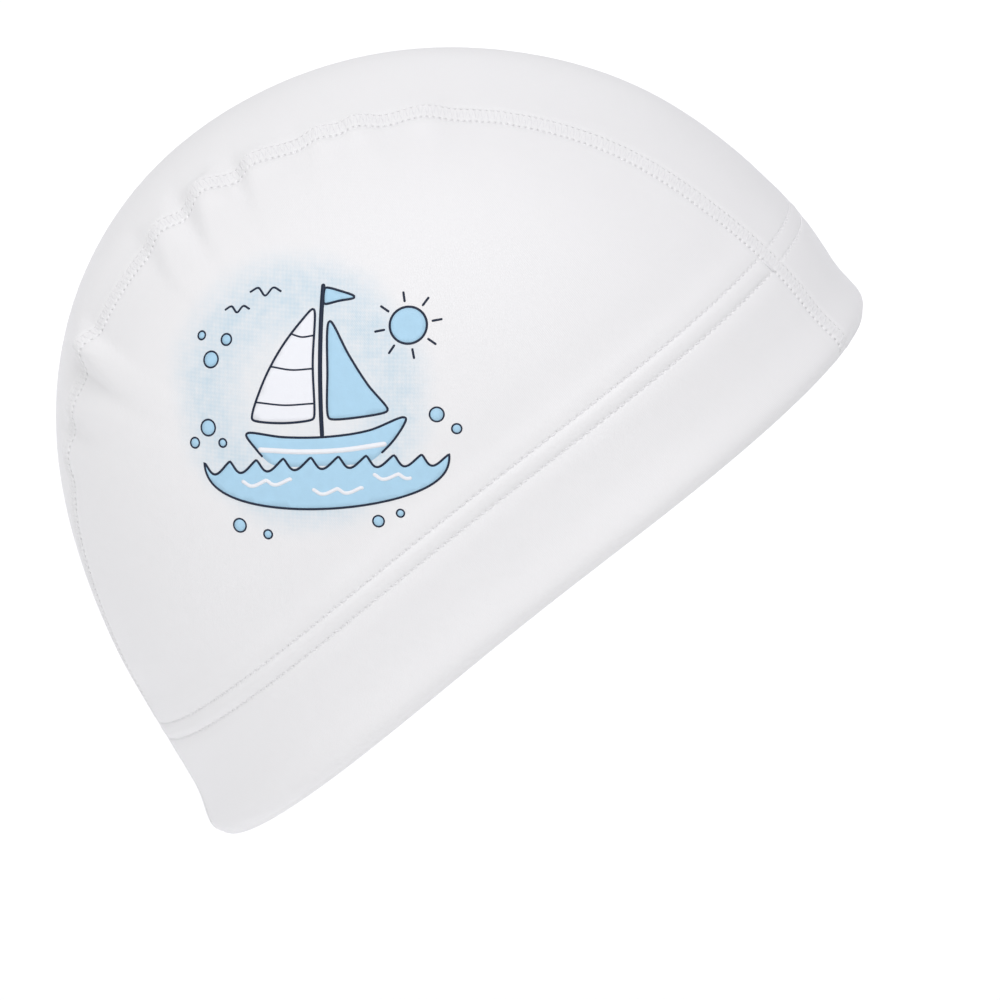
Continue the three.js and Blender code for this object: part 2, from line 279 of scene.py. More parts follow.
    def _measure_meridians(self) -> None:
        """Tables, for each longitude, the length above the rim by latitude, and the reverse."""
        around, up = self.longitude_step, self.latitude_step
        self._longitudes = np.radians(np.arange(-180, 180 + around / 2, around))
        self._latitudes = np.radians(np.arange(self.lowest_latitude, 90 + up / 2, up))
        self._heights = np.linspace(0, self.table_top, self.table_rows)
        turn = self._longitudes[:, None]
        points = self.point(self.rim_direction(turn, self._latitudes[None, :]))
        steps = np.linalg.norm(np.diff(points, axis=1), axis=-1)
        lengths = np.concatenate([np.zeros((len(turn), 1)), np.cumsum(steps, axis=1)], axis=1)
        rise = self.rim_side_rise * np.sin(self._longitudes) ** 2
        rim = rise - self.rim_drop + self.rim_front_rise * np.cos(self._longitudes)
        low = self._latitudes <= 0
        heights = points[:, low] @ self.pole
        start = [np.interp(r, h, length[low]) for r, h, length in zip(rim, heights, lengths)]
        self._above = lengths - np.array(start)[:, None]
        self._latitude = np.array([np.interp(self._heights, row, self._latitudes) for row in self._above])

    def angle(self, p: Array) -> Array:
        """The angle over the middle line, in degrees from -60 to 300, of directions or points."""
        return (np.degrees(np.arctan2(p[..., 2], p[..., 0])) + 60) % 360 - 60

    def reach(self, n: Array) -> Array:
        """How far the smooth crown reaches from its centre.

        Args:
            n: unit directions.

        Returns:
            The reach, in millimetres.
        """
        sideways = n[..., 1] ** 2
        along = self.profile_reach(self.angle(n))
        rounded = 1 / np.sqrt((1 - sideways) / along**2 + sideways / self.half_width**2)
        return rounded * (1 + self.shoulder_fullness * 4 * sideways * (1 - sideways))

    def point(self, n: Array) -> Array:
        """The smooth crown's points in directions, measured from the crown's centre."""
        n = unit(n)
        return n * self.reach(n)[..., None]

    def normal(self, n: Array) -> Array:
        """The smooth crown's outward normals.

        Args:
            n: directions.

        Returns:
            Unit normals.
        """
        step = 1e-3
        n = unit(n)
        helper = np.where(np.abs(n[..., 1:2]) > 0.9, [1.0, 0.0, 0.0], [0.0, 1.0, 0.0])
        aside = unit(np.cross(helper, n))
        along = np.cross(n, aside)
        across = self.point(n + step * aside) - self.point(n - step * aside)
        onward = self.point(n + step * along) - self.point(n - step * along)
        normal = unit(np.cross(across, onward))
        return normal * np.sign((normal * n).sum(-1, keepdims=True))

    def rim_direction(self, longitude: Array, latitude: Array) -> Array:
        """Directions at longitudes round the rim's pole and latitudes above the crown's centre.

        Args:
            longitude: in radians.
            latitude: in radians.

        Returns:
            Unit directions.
        """
        longitude, latitude = np.broadcast_arrays(longitude, latitude)
        flat = np.cos(longitude)[..., None] * self.forward + np.sin(longitude)[..., None] * self.leftward
        return flat * np.cos(latitude)[..., None] + np.sin(latitude)[..., None] * self.pole

    def longitude(self, n: Array) -> Array:
        """The longitudes of directions, in radians."""
        return np.arctan2(n @ self.leftward, n @ self.forward)

    def above(self, n: Array) -> Array:
        """The length of cloth between the rim and directions, up their own meridians.

        Args:
            n: directions.

        Returns:
            The heights above the rim.
        """
        n = unit(n)
        row = (self.longitude(n) - self._longitudes[0]) / math.radians(self.longitude_step)
        latitude = np.arcsin(np.clip(n @ self.pole, -1, 1))
        return lookup(self._above, row, (latitude - self._latitudes[0]) / math.radians(self.latitude_step))

    def hem_direction(self, longitude: Array, above: Array) -> Array:
        """Directions at longitudes and heights above the rim.

        Args:
            longitude: in radians.
            above: the heights.

        Returns:
            Unit directions.
        """
        row = (longitude - self._longitudes[0]) / math.radians(self.longitude_step)
        latitude = lookup(self._latitude, row, above / (self._heights[1] - self._heights[0]))
        return self.rim_direction(longitude, latitude)

    def line(self, angle: Array, sideways: Array) -> Array:
        """Directions at angles over the middle line and distances to the left of it.

        Args:
            angle: degrees over the middle line.
            sideways: millimetres of Y that the smooth crown's point has.

        Returns:
            Unit directions.
        """
        angle, sideways = np.broadcast_arrays(np.asarray(angle, float), np.asarray(sideways, float))
        turn = np.radians(angle)
        tilt = np.arcsin(sideways / self.mean_reach)
        for _ in range(self.line_rounds):
            n = np.stack([np.cos(tilt) * np.cos(turn), np.sin(tilt), np.cos(tilt) * np.sin(turn)], -1)
            tilt = np.arcsin(np.clip(sideways / self.reach(n), -0.99, 0.99))
        return n

    def beside_seam(self, angle: Array, side: Side, away: Array) -> Array:
        """Directions at distances off a seam's centre line, away from the middle of the cap."""
        return self.line(angle, side.value * (self.seam_half_width(angle) + away))

    def crossings(self, sideways: Callable[[Array], Array], above: Array, end: End) -> Array:
        """The angles at which lines along the cap meet heights above the rim.

        Args:
            sideways: gives each line's distance from the middle, lines by angles, for a row of angles.
            above: the heights.
            end: the end of the cap at which they meet.

        Returns:
            The angles, lines by heights.
        """
        angles = np.linspace(*end.value, 180)
        heights = self.above(self.line(angles[None, :], sideways(angles[None, :])))
        order = slice(None) if end is End.FRONT else slice(None, None, -1)
        return np.array([np.interp(above, row[order], angles[order]) for row in heights])

    def seam_distance(self, n: Array) -> Array:
        """How far directions lie off the nearer seam's centre line, above zero on the side panels."""
        p = self.point(n)
        return np.abs(p[..., 1]) - self.seam_half_width(self.angle(p))

    def pucker(self, n: Array) -> Array:
        """The lift of the puckers that the seams draw in the cloth.

        Args:
            n: directions.

        Returns:
            The lift off the smooth crown, in millimetres.
        """
        p = self.point(n)
        angle = self.angle(p)
        away = np.abs(p[..., 1]) - self.seam_half_width(angle)
        angle = angle - np.where(p[..., 1] > 0, self.left_pucker_shift, 0.0)
        at, lift, reach = np.array(self.puckers).T
        far = away / (eased(angle, at, reach) * np.where(away < 0, self.centre_pucker_share, 1.0))
        return eased(angle, at, lift) / (1 + far**4)

    def cloth_lift(self, n: Array, above: Array) -> Array:
        """The relief of a panel's outside: its flared rim, its hem and its edges along the seams.

        Args:
            n: directions.
            above: their heights above the rim.

        Returns:
            The lift off the smooth crown, in millimetres.
        """
        hem = eased(above, *np.array(self.hem_relief).T)
        off = self.seam_distance(n)
        away = np.abs(off)
        open_hem = smoothstep(away, *self.hem_opening) * np.where(off < 0, self.centre_hem_share, 1.0)
        bead = self.bead_lift * bump((away - self.bead_place) / self.bead_reach)
        tuck = self.tuck_depth * bump((away - self.tuck_place) / self.tuck_reach)
        return self.pucker(n) + self.rim_lift(above) + hem * open_hem + bead - tuck

    def outside(self, n: Array, lift: Array) -> tuple[Array, Array]:
        """Points on the outside in directions, and the normals there.

        Args:
            n: directions.
            lift: millimetres off the smooth crown.

        Returns:
            The points, from the origin, and the smooth crown's normals.
        """
        normal = self.normal(n)
        return self.centre + self.point(n) + normal * np.asarray(lift)[..., None], normal


@dataclass
class Solid:
    """A mesh in the making.

    Attributes:
        faces: vertex numbers of each face.
        cloth: the place of each vertex on the flat cloth, in millimetres.
    """

    points: Array
    faces: list[tuple[int, ...]]
    cloth: Array

    def volume(self) -> float:
        """The volume that the faces close in.

        Returns:
            Cubic millimetres, below zero where the faces look inwards.
        """
        spot = self.points - self.points.mean(axis=0)
        fans = [(face[0], face[k], face[k + 1]) for face in self.faces for k in range(1, len(face) - 1)]
        a, b, c = (spot[list(corner)] for corner in zip(*fans))
        return float((a * np.cross(b, c)).sum() / 6)

    def outward(self) -> "Solid":
        """The same solid, with its faces turned to look out.

        Returns:
            The solid.
        """
        if self.volume() >= 0:
            return self
        return Solid(self.points, [face[::-1] for face in self.faces], self.cloth)

    @staticmethod
    def joined(parts: Sequence["Solid"]) -> "Solid":
        """Several solids as one mesh of separate shells.

        Args:
            parts: the solids.

        Returns:
            The mesh.
        """
        faces, first = [], 0
        for part in parts:
            faces += [tuple(first + v for v in face) for face in part.faces]
            first += len(part.points)
        points = np.concatenate([part.points for part in parts])
        return Solid(points, faces, np.concatenate([part.cloth for part in parts]))

    def piece(self, name: str, material: bpy.types.Material, slot: str) -> bpy.types.Object:
        """Makes the Blender object, which rides on the cap's body.

        Args:
            name: the piece's name.
            material: its finish.
            slot: the record's material slot, which is not used.

        Returns:
            The new object.
        """
        mesh = bpy.data.meshes.new(name)
        mesh.from_pydata((self.points * MM).tolist(), [], self.faces)
        mesh.update()
        layer = mesh.uv_layers.new(name="cloth")
        corner = np.zeros(len(mesh.loops), np.int32)
        mesh.loops.foreach_get("vertex_index", corner)
        layer.uv.foreach_set("vector", self.cloth[corner].astype(np.float32).ravel())
        mesh.shade_smooth()
        mesh.materials.append(material)
        made = bpy.data.objects.new(name, mesh)
        bpy.context.scene.collection.objects.link(made)
        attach(made, BODY)
        LOG.info("%s: %d vertices, %d faces", name, len(mesh.vertices), len(mesh.polygons))
        return made


def half_surface(made: bpy.types.Object) -> float:
    """Half the area of a closed piece, in square metres, which is the area of its cloth."""
    return sum(polygon.area for polygon in made.data.polygons) / 2


@dataclass
class Patch:
    """One face of a piece of cloth: a grid of stations in which neighbours may be merged.

    Attributes:
        row_of: the row that stands for each station's own.
        column_of: the column that stands for each station's own.
    """

    row_of: Array
    column_of: Array

    def __post_init__(self) -> None:
        """Numbers the stations that are left."""
        width = self.row_of.shape[1]
        found, number = np.unique(self.row_of * width + self.column_of, return_inverse=True)
        self.number = number.reshape(self.row_of.shape)
        self.rows, self.columns = found // width, found % width

    def faces(self) -> list[tuple[int, ...]]:
        """The faces between the stations, without those that merging has closed.

        Returns:
            The station numbers of each face.
        """
        n = self.number
        cells = np.stack([n[:-1, :-1], n[:-1, 1:], n[1:, 1:], n[1:, :-1]], -1).reshape(-1, 4)
        same = cells == np.roll(cells, -1, axis=1)
        closed = same.sum(axis=1)
        made = [tuple(cell) for cell in cells[closed == 0].tolist()]
        for cell, pair in zip(cells[closed == 1].tolist(), same[closed == 1].argmax(axis=1)):
            made.append(tuple(cell[:pair] + cell[pair + 1 :]))
        return made

    def loop(self) -> Array:
        """The stations round the free edge.

        Returns:
            Their numbers, in order.
        """
        n = self.number
        ring = np.concatenate([n[0, :-1], n[:-1, -1], n[-1, :0:-1], n[:0:-1, 0]])
        return ring[ring != np.roll(ring, 1)]


def nearest(kept: Array, count: int) -> Array:
    """For each of count places in a row, the nearest of those that are kept."""
    middles = (kept[1:] + kept[:-1]) / 2
    return kept[np.searchsorted(middles, np.arange(count), side="left")]


@dataclass
class Skin:
    """One face of a piece of cloth, placed on the cap.

    Attributes:
        patch: its grid of stations.
        points: the stations' places, in millimetres.
        above: their heights above the rim.
        cloth: their places on the flat cloth.
    """

    patch: Patch
    points: Array
    normals: Array
    above: Array
    cloth: Array


def closed_cloth(form: CapForm, outer: Skin, inner: Skin, fold_rings: int) -> Solid:
    """The closed cloth between two faces, with its fold rounded at the rim.

    Args:
        form: the cap's shape.
        outer: the face on the outside.
        inner: the face on the inside, with the same stations round its edge.
        fold_rings: the steps in which the edge turns from one face to the other.

    Returns:
        The solid.
    """
    edge, far_edge = outer.patch.loop(), inner.patch.loop()
    near, far, normal = outer.points[edge], inner.points[far_edge], outer.normals[edge]
    down = unit(normal * (normal @ form.pole)[:, None] - form.pole)
    roll = np.where(outer.above[edge] < AT_RIM, form.rim_roll, 0.0)[:, None]
    turns = math.pi * np.arange(1, fold_rings) / fold_rings
    folds = [mix(near, far, (1 - math.cos(turn)) / 2) + down * roll * math.sin(turn) for turn in turns]
    inner_first = len(outer.points)
    fold_first = inner_first + len(inner.points)
    numbers = fold_first + np.arange(len(folds) * len(edge)).reshape(len(folds), len(edge))
    rings = [edge, *numbers, far_edge + inner_first]
    faces = outer.patch.faces() + [tuple(inner_first + v for v in face[::-1]) for face in inner.patch.faces()]
    for low, high in zip(rings, rings[1:]):
        sides = np.stack([np.roll(low, -1), low, high, np.roll(high, -1)], -1)
        faces += [tuple(side) for side in sides.tolist()]
    cloth = np.concatenate([outer.cloth, inner.cloth, *[outer.cloth[edge]] * len(folds)])
    return Solid(np.concatenate([outer.points, inner.points, *folds]), faces, cloth).outward()


@dataclass(frozen=True)
class HemStitch:
    """The stitches of a row that holds a hem, in millimetres.

    Attributes:
        groove: how deep the row presses the cloth all along.
        hole: how much deeper it is at a needle hole.
        dash: where a stitch's thread shows, in stitches from its first hole.
        slants: how far a dash leans to either side, in the lower and in the upper row.
    """

    length: float = 2.0
    groove: float = 0.1
    groove_half_width: float = 0.75
    hole: float = 0.36
    hole_half_width: float = 0.42
    hole_half_length: float = 0.36
    dash: Pair = (0.13, 0.87)
    thread: float = 0.13
    slants: Pair = (0.3, 0.1)

    def dent(self, off_row: Array, stitch: Array) -> Array:
        """How deep a row presses the cloth.

        Args:
            off_row: millimetres from the row.
            stitch: the place along the row, in stitches, with a hole at every whole number.

        Returns:
            The depth, in millimetres.
        """
        to_hole = np.abs(stitch - np.round(stitch)) * self.length
        line = self.groove * bump(off_row / self.groove_half_width)
        hole = self.hole * bump(off_row / self.hole_half_width) * bump(to_hole / self.hole_half_length)
        return line + hole


@dataclass
class Panel:
    """A piece of cloth in the cap, from its rim to its seams.

    Attributes:
        columns: the finest columns across it.
        row_shifts: how much further up the hem's lower and upper rows lie than on a side panel.
        seam_edge: how far its edge lies off the seam's centre line.
        fold_rings: the steps in which its edges turn from the outside to the inside.
        band: half the height of the finely meshed band along each row of stitches.
        row_spacing: about how far apart the hem's other rows lie.
        pressed: how far from a row of stitches its stations are kept.
        hem_edge: the height over which the turned-up hem ends.
    """

    form: CapForm
    stitch: HemStitch = field(default_factory=HemStitch)
    columns: int = 240
    row_shifts: Pair = (0.0, 0.0)
    seam_edge: float = 2.05
    fold_rings: int = 8
    rim_rows: tuple[float, ...] = (0.0, 0.5, 1.2, 2.2, 3.4)
    band: float = 0.76
    band_rows: int = 9
    row_spacing: float = 1.15
    pressed: float = 0.7
    hem_edge: float = 0.3
    edge_columns: tuple[int, ...] = (0, 1, 2, 3, 5, 7, 10, 13, 17)
    first_column: int = 22
    column_step: int = 5

    def stitch_rows(self) -> Pair:
        """The heights above the rim of the hem's two rows of stitches."""
        lower, upper = self.row_shifts
        return self.form.lower_row + lower, self.form.upper_row + upper

    def hem_rows(self) -> Array:
        """The rows that mesh the hem, closer where stitches press it.

        Returns:
            Their heights above the rim.
        """
        rows = list(self.rim_rows)
        for at in self.stitch_rows():
            start, fine = rows[-1], at - self.band
            steps = max(1, round((fine - start) / self.row_spacing))
            rows += [mix(start, fine, k / steps) for k in range(1, steps)]
            rows += [at + off for off in np.linspace(-self.band, self.band, self.band_rows)]
        start, top = rows[-1], self.form.hem_top
        return np.array(rows + [mix(start, top - self.hem_edge, k / 2) for k in (1, 2)] + [top])

    def fine(self, rows: Array) -> Array:
        """Which hem rows lie where the stitches press the cloth."""
        return np.minimum(*(np.abs(rows - row) for row in self.stitch_rows())) < self.pressed

    def kept_columns(self) -> Array:
        """The columns of the coarse rows, closer along the seams.

        Returns:
            Their numbers, in order.
        """
        last, ends = self.columns, self.edge_columns
        even = range(self.first_column, last - self.first_column + 2, self.column_step)
        return np.array(sorted({*ends, *(last - end for end in ends), *even}))

    def kept_hem_rows(self) -> list[int]:
        """The hem's rows that the inside keeps."""
        return [0, 1, 2, 3, 4, *range(6, self.top - 2, 3), self.top - 1, self.top]

    def dents(self, above: Array, stitch: Array) -> Array:
        """How deep the stitches press the cloth at heights and places along the hem."""
        return sum(self.stitch.dent(above - row, stitch) for row in self.stitch_rows())

    def wall(self, above: Array) -> Array:
        """The cloth's thickness, with the turned-up edge of the hem as a step."""
        step = smoothstep(above, self.form.hem_top - self.hem_edge, self.form.hem_top)
        return mix(self.form.hem_wall, self.form.wall, step)

    def directions(self, rows: Array, columns: Array) -> Array:
        """The directions of stations, by row and column of the grid."""
        raise NotImplementedError

    def stitches(self, rows: Array, columns: Array) -> Array:
        """The places of stations along the hem, in stitches."""
        raise NotImplementedError

    def cloth_map(self, n: Array) -> Array:
        """The places of directions on the flat cloth, in millimetres."""
        raise NotImplementedError

    def patches(self) -> tuple[Patch, Patch]:
        """The grids of the outside and of the inside, with the same stations round their edges."""
        raise NotImplementedError

    def skin(self, patch: Patch, inward: bool) -> Skin:
        """One face of the panel.

        Args:
            patch: its grid of stations.
            inward: whether it is the inside, rather than the outside with its pressed stitches.

        Returns:
            The face.
        """
        n = self.directions(patch.rows, patch.columns)
        above = self.form.above(n)
        lift = self.form.cloth_lift(n, above)
        if not inward:
            lift = lift - self.dents(above, self.stitches(patch.rows, patch.columns))
        points, normals = self.form.outside(n, lift)
        if inward:
            points = points - normals * self.wall(above)[:, None]
        return Skin(patch, points, normals, above, self.cloth_map(n))

    def solid(self) -> Solid:
        """The closed piece of cloth."""
        outer, inner = self.patches()
        return closed_cloth(self.form, self.skin(outer, False), self.skin(inner, True), self.fold_rings)


@dataclass
class SidePanel(Panel):
    """One side panel, from the rim over the ear up to its seam.

    Attributes:
        columns_per_stitch: the finest columns to a stitch of the hem.
        bands: up to each distance from the seam's edge, the spacing of the rows that follow it.
        closing: how close to the hem's top such a row still runs on, before it merges with it.
    """

    side: Side = Side.RIGHT
    columns: int = 1120
    columns_per_stitch: int = 10
    bands: tuple[Pair, ...] = ((1.2, 0.3), (4.0, 0.6), (8.0, 1.0), (130.0, 1.25))
    closing: float = 0.4
    samples: int = 2001

    def __post_init__(self) -> None:
        """Sets out the hem's ends, the columns and the rows that follow the seam."""
        form, self.rows = self.form, self.hem_rows()
        self.top = len(self.rows) - 1
        self.last_stitch = self.columns / self.columns_per_stitch

        def edge(angles: Array) -> Array:
            """The edge's distance from the middle of the cap."""
            return self.side.value * (form.seam_half_width(angles) + self.seam_edge)

        self.end_angles = [form.crossings(edge, self.rows, end)[0] for end in End]
        lines = [form.line(angles, edge(angles)) for angles in self.end_angles]
        self.end_longitudes = [self.side.value * form.longitude(n) for n in lines]
        dense, even = np.linspace(0, 1, self.samples), np.linspace(0, 1, self.columns + 1)
        row = self._top_row(dense, form.upper_row)
        steps = np.linalg.norm(np.diff(form.point(row), axis=0), axis=-1)
        length = np.concatenate([[0], np.cumsum(steps)])
        self.hem_length = float(length[-1])
        self.shares = np.interp(even, length / length[-1], dense)
        self.base = self._top_row(self.shares, form.hem_top)
        front, back = (angles[self.top] for angles in self.end_angles)
        angles = mix(front, back, even)
        self.edge = form.line(angles, edge(angles))
        self.arc = np.arccos(np.clip((self.base * self.edge).sum(-1), -1, 1))
        self.depths = self._depths(float(self.arc.max()) * form.mean_reach)

    def _top_row(self, share: Array, above: float) -> Array:
        """The directions along the hem's top row, taken to a height above the rim.

        Args:
            share: shares of the way from the row's front end to its back end.
            above: the height.

        Returns:
            Unit directions.
        """
        front, back = (longitudes[self.top] for longitudes in self.end_longitudes)
        return self.form.hem_direction(self.side.value * mix(front, back, share), np.full(len(share), above))

    def _depths(self, deepest: float) -> Array:
        """The rows above the hem, which follow the seam.

        Args:
            deepest: how far from the seam's edge the furthest has to lie.

        Returns:
            Their distances from the seam's edge.
        """
        depths = [0.0]
        for until, step in self.bands:
            while depths[-1] < min(until, deepest) - 1e-6:
                depths.append(depths[-1] + step)
        return np.array(depths)

    def directions(self, rows: Array, columns: Array) -> Array:
        """The directions of stations.

        Args:
            rows: their rows of the grid, first the hem's and then those up to the seam.
            columns: their columns.

        Returns:
            Unit directions.
        """
        hem = np.minimum(rows, self.top)
        front, back = (ends[hem] for ends in self.end_longitudes)
        turn = self.side.value * mix(front, back, self.shares[columns])
        low = self.form.hem_direction(turn, self.rows[hem])
        level = np.clip(self.top + len(self.depths) - rows, 0, len(self.depths) - 1)
        arc = np.maximum(self.arc[columns], 1e-6)
        rise = np.clip(1 - self.depths[level] / self.form.mean_reach / arc, 0, 1)
        base, edge = self.base[columns], self.edge[columns]
        turned = base * np.sin((1 - rise) * arc)[:, None] + edge * np.sin(rise * arc)[:, None]
        return np.where((rows > self.top)[:, None], unit(turned + base * 1e-12), low)

    def stitches(self, rows: Array, columns: Array) -> Array:
        """The places of stations along the hem, in stitches."""
        return columns / self.columns_per_stitch

    def hem_place(self, above: Array, stitch: Array) -> Array:
        """The directions of places along the hem.

        Args:
            above: their heights above the rim.
            stitch: how far along they lie, in stitches.

        Returns:
            Unit directions.
        """
        share = np.interp(stitch / self.last_stitch, np.linspace(0, 1, self.columns + 1), self.shares)
        front, back = (np.interp(above, self.rows, ends) for ends in self.end_longitudes)
        return self.form.hem_direction(self.side.value * mix(front, back, share), above)

    def cloth_map(self, n: Array) -> Array:
        """The places of directions on the flat cloth.

        Args:
            n: unit directions.

        Returns:
            Millimetres from the middle of the side, towards the front and upwards.
        """
        along, up = n @ self.form.forward, n @ self.form.pole
        off = np.arccos(np.clip(self.side.value * n[:, 1], -1, 1)) * self.form.mean_reach
        length = np.maximum(np.hypot(along, up), 1e-9)
        return np.stack([off * along / length, off * up / length], -1)

    def _open(self, rows: Array, columns: Array) -> Array:
        """Which stations stand for themselves, rather than for the hem's top row under them.

        Args:
            rows: the stations' rows.
            columns: their columns.

        Returns:
            True where a station stands for itself.
        """
        last = self.top + len(self.depths)
        depth = self.depths[np.clip(last - rows, 0, len(self.depths) - 1)]
        reaches = depth < (self.arc * self.form.mean_reach)[columns] - self.closing
        return (rows <= self.top) | reaches | ((rows == last) & (columns > 0) & (columns < self.columns))

    def patches(self) -> tuple[Patch, Patch]:
        """The grids of the outside and of the inside.

        Returns:
            The two, with the same stations round their edges.
        """
        count, width = self.top + 1 + len(self.depths), self.columns + 1
        coarse = nearest(self.kept_columns(), width)
        is_fine = np.concatenate([self.fine(self.rows), np.zeros(len(self.depths), bool)])
        columns = np.where(is_fine[:, None], np.arange(width)[None, :], coarse[None, :])
        rows = np.repeat(np.arange(count)[:, None], width, axis=1)
        outer = Patch(np.where(self._open(rows, columns), rows, self.top), columns)
        kept = [*self.kept_hem_rows(), *range(self.top + 3, count - 4, 2), count - 4, count - 2, count - 1]
        thin = np.repeat(nearest(np.array(kept), count)[:, None], width, axis=1)
        thin[:, [0, -1]] = rows[:, [0, -1]]
        columns = np.repeat(coarse[None, :], count, axis=0)
        return outer, Patch(np.where(self._open(thin, columns), thin, self.top), columns)


@dataclass
class CentrePanel(Panel):
    """The centre panel, which runs between the two seams from the forehead to the nape.

    Attributes:
        crown_rows: the steps between its two hems.
        stitch_counts: the stitches in a row of its front hem and of its back hem.
        crown_reach: a round figure for the reach over the middle line, for lengths on the cloth.
    """

    row_shifts: Pair = (0.1, 0.05)
    crown_rows: int = 220
    stitch_counts: tuple[int, int] = (24, 15)
    crown_reach: float = 88.0

    def __post_init__(self) -> None:
        """Sets out the grid of angles, from the front rim over the crown to the back rim."""
        self.rows = self.hem_rows()
        self.top = len(self.rows) - 1
        self.across = np.linspace(-1, 1, self.columns + 1)
        front, back = (self.form.crossings(self._columns, self.rows, end).T for end in End)
        shares = np.linspace(0, 1, self.crown_rows + 1)[1:-1, None]
        self.angles = np.concatenate([front, mix(front[-1:], back[-1:], shares), back[::-1]])
        self.ends = {End.FRONT: front, End.BACK: back}

    def _columns(self, angles: Array) -> Array:
        """Each column's distance from the middle of the cap, at angles over the middle line."""
        return self._sideways(angles, self.across[:, None])

    def _sideways(self, angles: Array, across: Array) -> Array:
        """The distance from the middle of the cap, for shares of the way from the middle to the edge."""
        return across * (self.form.seam_half_width(angles) - self.seam_edge)

    def directions(self, rows: Array, columns: Array) -> Array:
        """The directions of stations, by row and column of the grid."""
        angles = self.angles[rows, columns]
        return self.form.line(angles, self._sideways(angles, self.across[columns]))

    def stitches(self, rows: Array, columns: Array) -> Array:
        """The places of stations along the hem, in stitches."""
        front, back = self.stitch_counts
        return columns / self.columns * np.where(rows < len(self.angles) / 2, front, back)

    def hem_place(self, above: Array, stitch: Array, end: End) -> Array:
        """The directions of places along one of the hems.

        Args:
            above: their heights above the rim.
            stitch: how far along they lie, in stitches from the right.
            end: the hem's end of the cap.

        Returns:
            Unit directions.
        """
        count = self.stitch_counts[0 if end is End.FRONT else 1]
        row = np.interp(above, self.rows, np.arange(len(self.rows)))
        angle = lookup(self.ends[end], row, stitch / count * self.columns)
        return self.form.line(angle, self._sideways(angle, mix(-1.0, 1.0, stitch / count)))

    def cloth_map(self, n: Array) -> Array:
        """The places of directions on the flat cloth: along the cap, and across it."""
        return np.stack([np.radians(self.form.angle(n)) * self.crown_reach, self.form.point(n)[:, 1]], -1)

    def patches(self) -> tuple[Patch, Patch]:
        """The grids of the outside and of the inside.

        Returns:
            The two, with the same stations round their edges.
        """
        count, width = len(self.angles), self.columns + 1
        coarse = nearest(self.kept_columns(), width)
        hem = self.fine(self.rows)
        is_fine = np.concatenate([hem, np.zeros(self.crown_rows - 1, bool), hem[::-1]])
        rows = np.repeat(np.arange(count)[:, None], width, axis=1)
        columns = np.where(is_fine[:, None], np.arange(width)[None, :], coarse[None, :])
        outer = Patch(rows, columns)
        hem_rows, crown_rows = self.kept_hem_rows(), range(self.top + 2, count - self.top - 2, 2)
        kept = {*hem_rows, *(count - 1 - row for row in hem_rows), *crown_rows}
        thin = np.repeat(nearest(np.array(sorted(kept)), count)[:, None], width, axis=1)
        thin[:, [0, -1]] = rows[:, [0, -1]]
        return outer, Patch(thin, np.repeat(coarse[None, :], count, axis=0))


def tubes(paths: Array, normals: Array, radius: float, sides: int = 6, tip: float = 0.55) -> Solid:
    """Closed round threads along paths.

    Args:
        paths: threads by points by three, in millimetres.
        normals: the cloth's normals at the same points.
        radius: the thread's radius.
        sides: faces round a thread.
        tip: the radius of its ends, as a share of its own.

    Returns:
        The threads as one mesh of separate shells.
    """
    tangent = unit(np.gradient(paths, axis=1))
    aside = unit(np.cross(tangent, normals))
    up = np.cross(aside, tangent)
    count, steps = paths.shape[:2]
    end = np.minimum(np.arange(steps), np.arange(steps)[::-1])
    thick = radius * np.where(end == 0, tip, 1.0)
    turn = 2 * math.pi * np.arange(sides) / sides
    ring = np.cos(turn)[:, None] * aside[:, :, None, :] + np.sin(turn)[:, None] * up[:, :, None, :]
    points = paths[:, :, None, :] + ring * thick[None, :, None, None]
    number = np.arange(count * steps * sides).reshape(count, steps, sides)
    low, high = number[:, :-1], number[:, 1:]
    walls = np.stack([low, np.roll(low, -1, axis=2), np.roll(high, -1, axis=2), high], -1).reshape(-1, 4)
    faces = [tuple(face) for face in walls.tolist()]
    faces += [tuple(cap) for cap in number[:, 0, ::-1].tolist()]
    faces += [tuple(cap) for cap in number[:, -1].tolist()]
    length = np.linalg.norm(np.diff(paths, axis=1), axis=-1).cumsum(axis=1)
    along = np.concatenate([np.zeros((count, 1)), length], axis=1)
    around = np.broadcast_to(turn / (2 * math.pi), (count, steps, sides))
    cloth = np.stack([np.broadcast_to(along[:, :, None], around.shape), around], -1)
    return Solid(points.reshape(-1, 3), faces, cloth.reshape(-1, 2)).outward()


